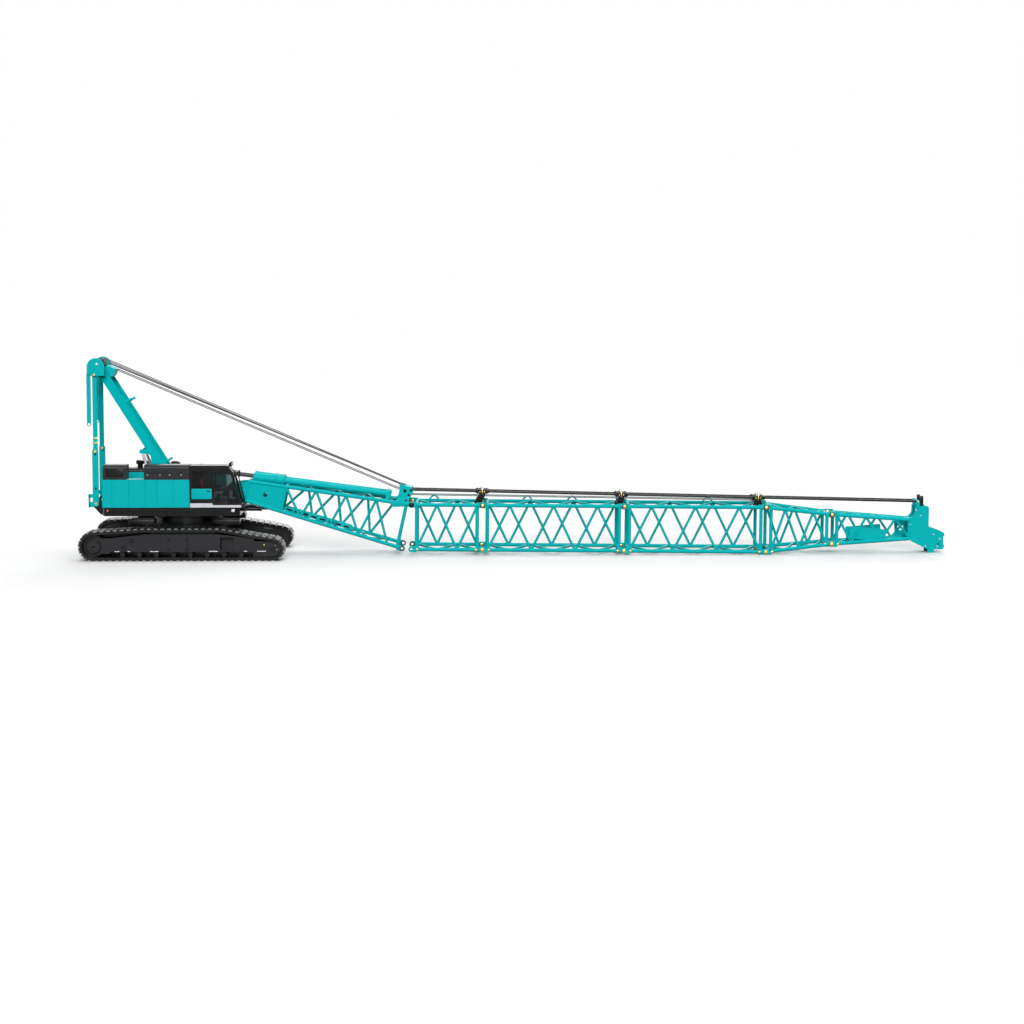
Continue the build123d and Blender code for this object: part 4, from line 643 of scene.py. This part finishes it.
# cab side: door panel, and a rubber seal around the window; both are (x, z, width, height)
cabLook = dict(
    side=-36.0, door=(14.8, 54.4, 17.2, 8.9), doorCorner=0.9, doorSink=0.1, doorThick=0.6,
    doorEdge=0.25, window=(15.1, 66.7, 16.2, 15.0), windowCorner=1.2, seal=0.42)
x, z, width, height = cabLook["door"]
outline = roundedOutline(width, height, cabLook["doorCorner"])
place = (x, cabLook["side"] + cabLook["doorSink"], z)
door = onSide(outline, place, -1, cabLook["doorThick"], cabLook["doorEdge"])
piece("cabDoorPanel", [door], tealEnamel, "upper")
x, z, width, height = cabLook["window"]
outline = roundedOutline(width, height, cabLook["windowCorner"])
loop = np.concatenate((outline, outline[:1]))
sealPath = np.stack((x + loop[:, 0], np.full(len(loop), cabLook["side"]), z + loop[:, 1]), -1)
seal = tube(sealPath, cabLook["seal"])

# guard rail and wipers on the sloping windscreen: places are a share down it, a lift off it and across
guardLook = dict(
    brow=(41.8, 72.5), nose=(48.4, 45.9), inner=-18.4, outer=-35.2,
    rail=((0.02, 0.2), (0.08, 1.7), (0.5, 1.9), (0.94, 1.7), (1.0, 0.2)), railRadius=0.45,
    bars=(0.36, 0.52, 0.68, 0.84), barLift=1.8, barRadius=0.35,
    wipers=((((0.75, 0.7, -24.0), (0.3, 0.7, -28.0)), 0.25),
            (((0.48, 0.5, -30.5), (0.16, 0.5, -26.0)), 0.35)), wiperSides=6)
brow, nose = (np.array((p[0], 0, p[1])) for p in (guardLook["brow"], guardLook["nose"]))
screen = nose - brow
screenOut = np.array((-screen[2], 0, screen[0])) / np.linalg.norm(screen)


def onScreen(share, lift, across):
    # point a share of the way down the windscreen, lifted off it
    return brow + screen * share + screenOut * lift + (0, across, 0)


guard = []
for across in (guardLook["outer"], guardLook["inner"]):
    rail = np.stack([onScreen(share, lift, across) for share, lift in guardLook["rail"]])
    guard.append(tube(rail, guardLook["railRadius"]))
for share in guardLook["bars"]:
    bar = [onScreen(share, guardLook["barLift"], guardLook[name]) for name in ("outer", "inner")]
    guard.append(tube(bar, guardLook["barRadius"]))
wipers = [tube([onScreen(*place) for place in places], radius, guardLook["wiperSides"])
          for places, radius in guardLook["wipers"]]

# mirror on its arm, and the door handle
mirrorLook = dict(
    outline=(2.8, 6.0, 0.8), place=(46.8, -38.6, 72.0), thick=1.2, edge=0.4, armRadius=0.4,
    arm=((41.6, -35.4, 74.2), (44.4, -37.0, 74.3), (47.2, -38.6, 74.0)),
    handle=((20.6, -36.8, 56.9), (2.8, 0.9, 0.8), 0.2))
mirror = [slab(roundedOutline(*mirrorLook["outline"]), mirrorLook["place"], (0, 1, 0), (0, 0, 1),
               mirrorLook["thick"], mirrorLook["edge"]),
          tube(mirrorLook["arm"], mirrorLook["armRadius"]), box(*mirrorLook["handle"])]

# roof lamps: turned shells on short stems, with bright lenses
lampLook = dict(
    acrosses=(-33.0, -28.5, -22.0), place=(38.0, 79.6), aim=(1, 0, -0.12), sides=18,
    shell=((0, 0.8), (0.4, 1.3), (1.6, 1.7), (2.3, 1.7), (2.4, 1.5)),
    stemX=38.6, stemFoot=77.6, stemRadius=0.5, lensPlace=(40.4, 79.3), lens=(1.45, 0.4))
lamps, lenses = [], []
for across in lampLook["acrosses"]:
    x, z = lampLook["place"]
    lamps.append(turned(lampLook["shell"], (x, across, z), lampLook["aim"], lampLook["sides"]))
    stem = ((lampLook["stemX"], across, lampLook["stemFoot"]), (lampLook["stemX"], across, z))
    lamps.append(tube(stem, lampLook["stemRadius"]))
    x, z = lampLook["lensPlace"]
    lenses.append(dome((x, across, z), lampLook["aim"], *lampLook["lens"], lampLook["sides"]))
piece("cabFittings", [seal] + guard + wipers + mirror + lamps, rubberBlack, "upper")
piece("cabLampLenses", lenses, silverPaint, "upper")

# inside the cab: red pad on the seat, two levers with knobs, arm rests, cushion, console and pedal
insideLook = dict(
    pad=((14.6, -26.5, 62.2), (2.6, 7.6, 9.0), 0.9), leverAcross=(-31.0, -22.4),
    leverRadius=0.5, lever=((30.5, 49.0), (31.2, 54.0), (32.6, 58.2)),
    knobPlace=(32.4, 57.6), knobAxis=(0.3, 0, 1), knobSides=14,
    knob=((0, 0.5), (0.4, 1.0), (1.2, 1.2), (2.0, 0.9), (2.3, 0.3)),
    boxes=(((26.5, -32.0, 54.6), (8.0, 2.4, 1.6), 0.5),
           ((26.5, -21.4, 54.6), (8.0, 2.4, 1.6), 0.5),
           ((22.0, -26.5, 52.0), (9.0, 9.0, 2.4), 0.9),
           ((38.6, -27.0, 53.5), (2.6, 8.0, 7.0), 0.6),
           ((41.5, -31.0, 50.5), (3.0, 2.2, 1.0), 0.3)))
piece("cabSeatPad", [box(*insideLook["pad"])], redFabric, "upper")
controls = [box(*shape) for shape in insideLook["boxes"]]
for across in insideLook["leverAcross"]:
    controls.append(tube([(x, across, z) for x, z in insideLook["lever"]], insideLook["leverRadius"]))
    x, z = insideLook["knobPlace"]
    controls.append(turned(insideLook["knob"], (x, across, z), insideLook["knobAxis"],
                           insideLook["knobSides"]))
piece("cabControls", controls, paleGrey, "upper")

# deck sides: lamps, blank plate, round covers; hood sides: trim strip, louvre panel and rivets
deckLook = dict(
    side=35.0, sink=0.05, lamp=(-65.3, 40.0), lens=(0.9, 0.7), plate=(41.3, 40.2),
    plateOutline=(2.8, 2.3, 0.2), plateThick=(0.25, 0.08), roundSides=18, roundsZ=38.8,
    roundsX=(-43.6, -15.4, 3.4, 25.6, 31.6),
    round=((0, 1.5), (0.5, 1.5), (0.7, 1.3), (0.72, 0.7), (0.4, 0.6)),
    strip=(-14.6, 72.6), stripOutline=(34.0, 0.6, 0.2), stripThick=(0.35, 0.12),
    louvre=(-59.0, 72.4), louvreOutline=(15.0, 7.0, 0.8), louvreThick=(0.4, 0.2),
    rivetsX=(-66.0, -52.0, -31.0, -20.3, -12.3, -2.5), rivetsZ=70.6, rivet=(0.5, 0.35, 10))


def onNearDeck(name):
    # flat piece set slightly into the near side of the deck or a hood
    x, z = deckLook[name]
    place = (x, -deckLook["side"] + deckLook["sink"], z)
    return onSide(roundedOutline(*deckLook[name + "Outline"]), place, -1, *deckLook[name + "Thick"])


sideLamps = studs([deckLook["lamp"]], deckLook["side"], deckLook["lens"])
piece("sideLamps", sideLamps, amberLens, "upper")
piece("blankPlate", [onNearDeck("plate")], whiteEnamel, "upper")
covers = [turned(deckLook["round"], (x, side * deckLook["side"], deckLook["roundsZ"]), (0, side, 0),
                 deckLook["roundSides"]) for x in deckLook["roundsX"] for side in bothSides]
covers += [onNearDeck("strip"), onNearDeck("louvre")]
piece("deckSideFittings", covers, blackEnamel, "upper")
rivets = [dome((x, -deckLook["side"], deckLook["rivetsZ"]), (0, -1, 0), *deckLook["rivet"])
          for x in deckLook["rivetsX"]]
piece("hoodRivets", rivets, silverPaint, "upper")

# air cleaner caps on the left hood, each a turned profile
capLook = dict(
    tall=((0, 2.4), (3.0, 2.4), (3.4, 3.6), (5.6, 3.7), (6.6, 3.0), (7.0, 1.4)),
    tallPlace=(-44.5, 24.0, 72.4),
    wide=((0, 3.0), (2.6, 3.0), (3.0, 4.2), (4.6, 4.2), (5.6, 3.0), (5.8, 1.2)),
    widePlace=(-14.0, 26.0, 72.4), sides=24)
caps = [turned(capLook[name], capLook[name + "Place"], (0, 0, 1), capLook["sides"])
        for name in ("tall", "wide")]
piece("airCleanerCaps", caps, blackEnamel, "upper")

# cylinders at the front of the deck: barrel, gland and rod, an eye on each rod and a shaft through both
frontLook = dict(
    across=13.0, z=39.6, start=46.6, rodLength=28.4,
    cylinder=((0, 1.5), (0.3, 1.8), (15.9, 1.8), (16.2, 2.1), (17.4, 2.1), (17.6, 0.8),
              (28.4, 0.8)),
    eye=((0, 1.4), (0.2, 1.7), (2.8, 1.7), (3.0, 1.4)), eyeHalf=1.5, shaftHalf=16.0, shaft=0.9,
    sides=18, shaftSides=12)
rodEnd = frontLook["start"] + frontLook["rodLength"]
cylinders = []
for side in bothSides:
    across = side * frontLook["across"]
    place = (frontLook["start"], across, frontLook["z"])
    cylinders.append(turned(frontLook["cylinder"], place, (1, 0, 0), frontLook["sides"]))
    eyePlace = (rodEnd, across - frontLook["eyeHalf"], frontLook["z"])
    cylinders.append(turned(frontLook["eye"], eyePlace, (0, 1, 0), frontLook["sides"]))
shaft = ((rodEnd, -frontLook["shaftHalf"], frontLook["z"]), (rodEnd, frontLook["shaftHalf"], frontLook["z"]))
cylinders.append(tube(shaft, frontLook["shaft"], frontLook["shaftSides"]))
piece("frontCylinders", cylinders, blackEnamel, "upper")

# hoses beside them: P(s) = start + span s + h sin(pi s) up; each is its place across, length and rise
hoseLook = dict(
    start=(47.0, 41.0), drift=(2.0, 0.5), radius=0.45,
    hoses=((-20.0, 15.0, 2.6), (-17.5, 17.0, 2.0), (15.0, 16.0, 2.4)))
s = np.linspace(0, 1, 21)[:, None]
hoses = []
for across, length, rise in hoseLook["hoses"]:
    hoseStart = np.array((hoseLook["start"][0], across, hoseLook["start"][1]))
    span = np.array((length, *hoseLook["drift"]))
    hoses.append(tube(hoseStart + s * span + np.sin(np.pi * s) * np.array((0, 0, rise)), hoseLook["radius"]))
piece("frontHoses", hoses, wireGrey, "upper")

# gantry: bolts on the head plates and the mast's legs, pin ends, link bands and the cover between the legs
gantryLook = dict(
    plate=23.6, dots=((-79.2, 165.6), (-72.9, 157.4), (-76.4, 160.0)), dot=(0.75, 0.5, 12),
    foot=(-17.0, 70.0), head=(-71.0, 156.5), legFace=14.0, legBolt=(0.6, 0.4, 10),
    legShares=(0.12, 0.2, 0.45, 0.62, 0.76, 0.92), pin=(-74.5, 164.2), pinEnd=(1.2, 0.7),
    coverShare=0.83, cover=(19.0, 19.0, 1.0), coverThick=(1.2, 0.3))
dots = studs(gantryLook["dots"], gantryLook["plate"], gantryLook["dot"])
mastFoot, mastHead = (np.array((p[0], 0, p[1])) for p in (gantryLook["foot"], gantryLook["head"]))
mast = mastHead - mastFoot
legPlaces = [(mastFoot + mast * share)[::2] for share in gantryLook["legShares"]]
dots += studs(legPlaces, gantryLook["legFace"], gantryLook["legBolt"])
piece("gantryBolts", dots, tealEnamel, "upper")
pinEnds = studs([gantryLook["pin"]], gantryLook["plate"], gantryLook["pinEnd"])
piece("gantryPinEnds", pinEnds, silverPaint, "upper")
cover = slab(roundedOutline(*gantryLook["cover"]), mastFoot + mast * gantryLook["coverShare"],
             mast / np.linalg.norm(mast), (0, 1, 0), *gantryLook["coverThick"])

# rear links: brass bands, dark plugs, and brackets behind the lower ones
linkLook = dict(
    x=-77.0, bandZs=(101.0, 97.0), bandFace=20.05, band=(4.3, 1.1, 0.2), bandThick=(0.4, 0.12),
    plugZs=(87.4, 58.0), plugFace=21.8, plug=(1.0, 0.5, 12), bracketAcross=20.0, bracketWidth=2.4,
    bracketEdge=0.3, brackets=(((-81.2, 51.6), (4.6, 3.0)), ((-82.7, 47.2), (1.4, 11.0)),
                               ((-81.0, 44.2), (4.4, 4.4))))
linkBands = [onSide(roundedOutline(*linkLook["band"]), (linkLook["x"], side * linkLook["bandFace"], z), side,
                    *linkLook["bandThick"]) for z in linkLook["bandZs"] for side in bothSides]
piece("linkBands", linkBands, brassMetal, "upper")
linkPlugs = studs([(linkLook["x"], z) for z in linkLook["plugZs"]], linkLook["plugFace"], linkLook["plug"])
piece("mastCover", [cover] + linkPlugs, blackEnamel, "upper")
brackets = [box((x, side * linkLook["bracketAcross"], z), (length, linkLook["bracketWidth"], height),
                linkLook["bracketEdge"])
            for (x, z), (length, height) in linkLook["brackets"] for side in bothSides]
piece("linkBrackets", brackets, tealEnamel, "upper")
print("upper works made")

# painted glints on the shoe ends at even steps along the loop: bottom run, idler arc, sloping top and drive
# arc.
# drive and idler are each wheel's place and the loop's radius there.
# An arc ends where the line from the crown touches it: lean = atan(drop / run) - atan(band / reach).
loopLook = dict(
    drive=(-74.0, 12.5), idler=(76.7, 9.8),
    crownHalf=32.0, crownZ=26.4, shoe=1.2, count=64, end=64.5, sink=0.05, lift=0.75,
    shoeGlint=(2.9, 0.55, 0.12, 2), shoeGlintThick=(0.2, 0.06), ahead=0.4, arcSteps=24,
    guardInset=1.0, guardFace=45.0, guardThick=(0.7, 0.1))
arcs = []
for side, (x, radius) in ((1, loopLook["idler"]), (-1, loopLook["drive"])):
    runX, drop = side * x - loopLook["crownHalf"], loopLook["crownZ"] - radius
    band = radius - loopLook["shoe"]
    reach = math.sqrt(runX ** 2 + drop ** 2 - band ** 2)
    lean = math.atan2(drop, runX) - math.atan2(band, reach)
    a = np.linspace(-np.pi / 2, np.pi / 2 - lean, loopLook["arcSteps"])
    arcs.append(np.stack((x + side * band * np.cos(a), radius + band * np.sin(a)), -1))
idlerArc, driveArc = arcs
crown = [(end * loopLook["crownHalf"], loopLook["crownZ"]) for end in (1, -1)]
loopPath = np.concatenate((driveArc[:1], idlerArc, crown, driveArc[::-1]))
travel = np.concatenate(([0], np.cumsum(np.linalg.norm(np.diff(loopPath, axis=0), axis=1))))
at = (np.arange(loopLook["count"]) + 0.5) * travel[-1] / loopLook["count"]
middle, ahead = (np.stack([np.interp(at + step, travel, loopPath[:, k]) for k in (0, 1)], -1)
                 for step in (0.0, loopLook["ahead"]))
heading = (ahead - middle) / np.linalg.norm(ahead - middle, axis=1, keepdims=True)
# each chip is a thin pale strip on a shoe's end: a painted glint
shoeGlintOutline = roundedOutline(*loopLook["shoeGlint"])
shoeGlints = []
for (x, z), (hx, hz) in zip(middle, heading):
    along, outward = np.array((hx, 0, hz)), np.array((hz, 0, -hx))
    for side in bothSides:
        place = np.array((x, side * (loopLook["end"] - loopLook["sink"]), z)) + outward * loopLook["lift"]
        shoeGlints.append(slab(shoeGlintOutline, place, along, side * outward, *loopLook["shoeGlintThick"]))
piece("trackShoePaintedGlints", shoeGlints, shoeGlintGrey, "lower")

# inner guards: plates that close the loops behind the frames
inside = middle - loopLook["guardInset"] * np.stack((heading[:, 1], -heading[:, 0]), -1)
guards = [onSide(seenFrom(side, inside), (0, side * loopLook["guardFace"], 0), side, *loopLook["guardThick"])
          for side in bothSides]
piece("trackInnerGuards", guards, trackBlack, "lower")

# track frames, on both outer faces: hole rims, block bolts and the drive's cover
trackLook = dict(
    face=60.5, block=61.9, holes=((-42.0, 17.0), (-48.7, 11.0)), rim=(1.5, 0.45),
    bolts=((-10.6, 18.4), (4.2, 18.4), (-10.6, 10.0), (4.2, 10.0)), boltRadius=1.1, bolt=(0.7, 0.2),
    coverRing=(5.9, 0.4, 48), hub=(1.5, 0.5), coverBolts=8, coverBoltRadius=4.3, coverBolt=(0.5, 0.35, 8))
boltOutline = polygonOutline(trackLook["boltRadius"], 6)
boltAngles = np.arange(trackLook["coverBolts"]) * 2 * math.pi / trackLook["coverBolts"]
driveX, driveZ = loopLook["drive"]
fittings = []
for side in bothSides:
    out, face, block = (0, side, 0), side * trackLook["face"], side * trackLook["block"]
    fittings += [hoop((x, face, z), (0, 1, 0), *trackLook["rim"]) for x, z in trackLook["holes"]]
    fittings += [onSide(boltOutline, (x, block, z), side, *trackLook["bolt"]) for x, z in trackLook["bolts"]]
    fittings.append(hoop((driveX, block, driveZ), (0, 1, 0), *trackLook["coverRing"]))
    fittings.append(dome((driveX, block, driveZ), out, *trackLook["hub"]))
    for a in boltAngles:
        x = driveX + trackLook["coverBoltRadius"] * math.cos(a)
        z = driveZ + trackLook["coverBoltRadius"] * math.sin(a)
        fittings.append(dome((x, block, z), out, *trackLook["coverBolt"]))
piece("trackFrameFittings", fittings, blackEnamel, "lower")

# steps on the carbody's four corners, with raised grip bars
stepLook = dict(
    xs=(-36.0, 36.0), across=30.0, z=30.4, size=(22.0, 17.0, 4.4), edge=0.6,
    bars=(24.0, 27.0, 30.0, 33.0, 36.0), barZ=32.9, barSize=(20.0, 1.2, 0.6), barEdge=0.2)
stepShapes = []
for x in stepLook["xs"]:
    for side in bothSides:
        place = (x, side * stepLook["across"], stepLook["z"])
        stepShapes.append(box(place, stepLook["size"], stepLook["edge"]))
        stepShapes += [box((x, side * across, stepLook["barZ"]), stepLook["barSize"], stepLook["barEdge"])
                       for across in stepLook["bars"]]
piece("carbodySteps", stepShapes, blackEnamel, "lower")

# painted glints along the track frames' lower edge, and brass plugs on the frames; a plug is its place and
# its shape
markLook = dict(
    glintZ=7.9, glintHeight=0.8, glintCorner=0.2, glintSink=0.05, glintThick=(0.25, 0.08),
    frameGlints=((-56.4, -52.4), (-45.4, -43.4), (-26.6, -19.4), (-3.6, -0.8), (22.6, 30.4),
          (52.4, 55.2), (63.4, 71.0)),
    plugs=((69.4, 13.4, 0.8, 0.5, 12), (78.9, 13.0, 0.5, 0.4, 10), (80.2, 9.6, 0.5, 0.4, 10)))
frameGlints, plugs = [], []
for side in bothSides:
    # pale silver strips along each frame's lower edge: painted glints
    for start, end in markLook["frameGlints"]:
        place = ((start + end) / 2, side * (trackLook["face"] - markLook["glintSink"]), markLook["glintZ"])
        outline = roundedOutline(end - start, markLook["glintHeight"], markLook["glintCorner"])
        frameGlints.append(onSide(outline, place, side, *markLook["glintThick"]))
for x, z, *shape in markLook["plugs"]:
    plugs += studs([(x, z)], trackLook["face"], shape)
piece("trackFramePaintedGlints", frameGlints, silverPaint, "lower")
piece("trackPlugs", plugs, brassMetal, "lower")
print("tracks made")

# white paper floor and white room; the paper throws less light back on the crane than it shows.
# A lamp is its strength, its lean from the front and from the right, and its apparent width in degrees.
stageLook = dict(
    floorSize=8.0, floorColour="F4F4F4", bounceColour="5C5C5C", floorLift=0.02, ambient=0.24,
    overheadSoftbox=(1.2, -10, 12, 56), frontKeyLight=(2.5, 68, 0, 24),
    rearFillLight=(1.35, -60, 14, 34))
white = (1, 1, 1, 1)


def seenDirectly(tree):
    # 1 for camera, glossy and transmission rays, 0 for the rays that only carry light
    ray = addNode(tree, "ShaderNodeLightPath")
    either = addNode(tree, "ShaderNodeMath", {"operation": "MAXIMUM"},
                     {0: ray.outputs["Is Camera Ray"], 1: ray.outputs["Is Glossy Ray"]})
    return addNode(tree, "ShaderNodeMath", {"operation": "MAXIMUM"},
                   {0: either.outputs[0], 1: ray.outputs["Is Transmission Ray"]}).outputs[0]


floorMesh = bpy.data.meshes.new("studioFloor")
edge = stageLook["floorSize"] / 2
floorCorners = [(-edge, -edge, 0), (edge, -edge, 0), (edge, edge, 0), (-edge, edge, 0)]
floorMesh.from_pydata(floorCorners, [], [(0, 1, 2, 3)])
floor = bpy.data.objects.new("studioFloor", floorMesh)
bpy.context.scene.collection.objects.link(floor)
floorPaper = bpy.data.materials.new("whitePaperSweep")
floorPaper.use_nodes = True
tree = floorPaper.node_tree
tree.nodes.clear()
seen = seenDirectly(tree)
bounce, shown = linear(stageLook["bounceColour"]), linear(stageLook["floorColour"])
sheet = addNode(tree, "ShaderNodeMix", {"data_type": "RGBA", 6: bounce, 7: shown}, {0: seen})
paper = addNode(tree, "ShaderNodeBsdfDiffuse", None, {"Color": sheet.outputs[2]})
lift = addNode(tree, "ShaderNodeMath", {"operation": "MULTIPLY", 1: stageLook["floorLift"]}, {0: seen})
glow = addNode(tree, "ShaderNodeEmission", {"Color": white}, {"Strength": lift.outputs[0]})
both = addNode(tree, "ShaderNodeAddShader", None, {0: paper.outputs[0], 1: glow.outputs[0]})
addNode(tree, "ShaderNodeOutputMaterial", None, {"Surface": both.outputs[0]})
floorMesh.materials.append(floorPaper)

world = bpy.data.worlds.new("studioWhite")
bpy.context.scene.world = world
world.use_nodes = True
tree = world.node_tree
tree.nodes.clear()
level = addNode(tree, "ShaderNodeMapRange", {"To Min": stageLook["ambient"], "To Max": 1.0},
                {"Value": seenDirectly(tree)})
sky = addNode(tree, "ShaderNodeBackground", {"Color": white}, {"Strength": level.outputs["Result"]})
addNode(tree, "ShaderNodeOutputWorld", None, {"Surface": sky.outputs[0]})

for name in ("overheadSoftbox", "frontKeyLight", "rearFillLight"):
    strength, front, right, spread = stageLook[name]
    lamp = bpy.data.lights.new(name, "SUN")
    lamp.energy = strength
    lamp.angle = math.radians(spread)
    light = bpy.data.objects.new(name, lamp)
    light.rotation_euler = (math.radians(front), math.radians(right), 0)
    bpy.context.scene.collection.objects.link(light)

# camera at the photograph's angle: long lens, almost level, square frame
shot = dict(
    aim=(0.2796, 0.0, 0.0352), distance=2.211, elevation=5.342, frameWidth=0.8882, turn=-1.057,
    sensor=36.0, nearest=0.05)
lens = bpy.data.cameras.new("photoCamera")
lens.sensor_width = shot["sensor"]
lens.lens = shot["sensor"] * shot["distance"] / shot["frameWidth"]
lens.clip_start = shot["nearest"]
camera = bpy.data.objects.new("photoCamera", lens)
tilt, turn = math.radians(shot["elevation"]), math.radians(shot["turn"])
camera.location = (
    shot["aim"][0] + shot["distance"] * math.cos(tilt) * math.sin(turn),
    shot["aim"][1] - shot["distance"] * math.cos(tilt) * math.cos(turn),
    shot["aim"][2] + shot["distance"] * math.sin(tilt),
)
camera.rotation_euler = (math.pi / 2 - tilt, 0, turn)
bpy.context.scene.collection.objects.link(camera)
bpy.context.scene.camera = camera
bpy.context.scene.view_settings.view_transform = "Standard"
print("stage, light and camera set")
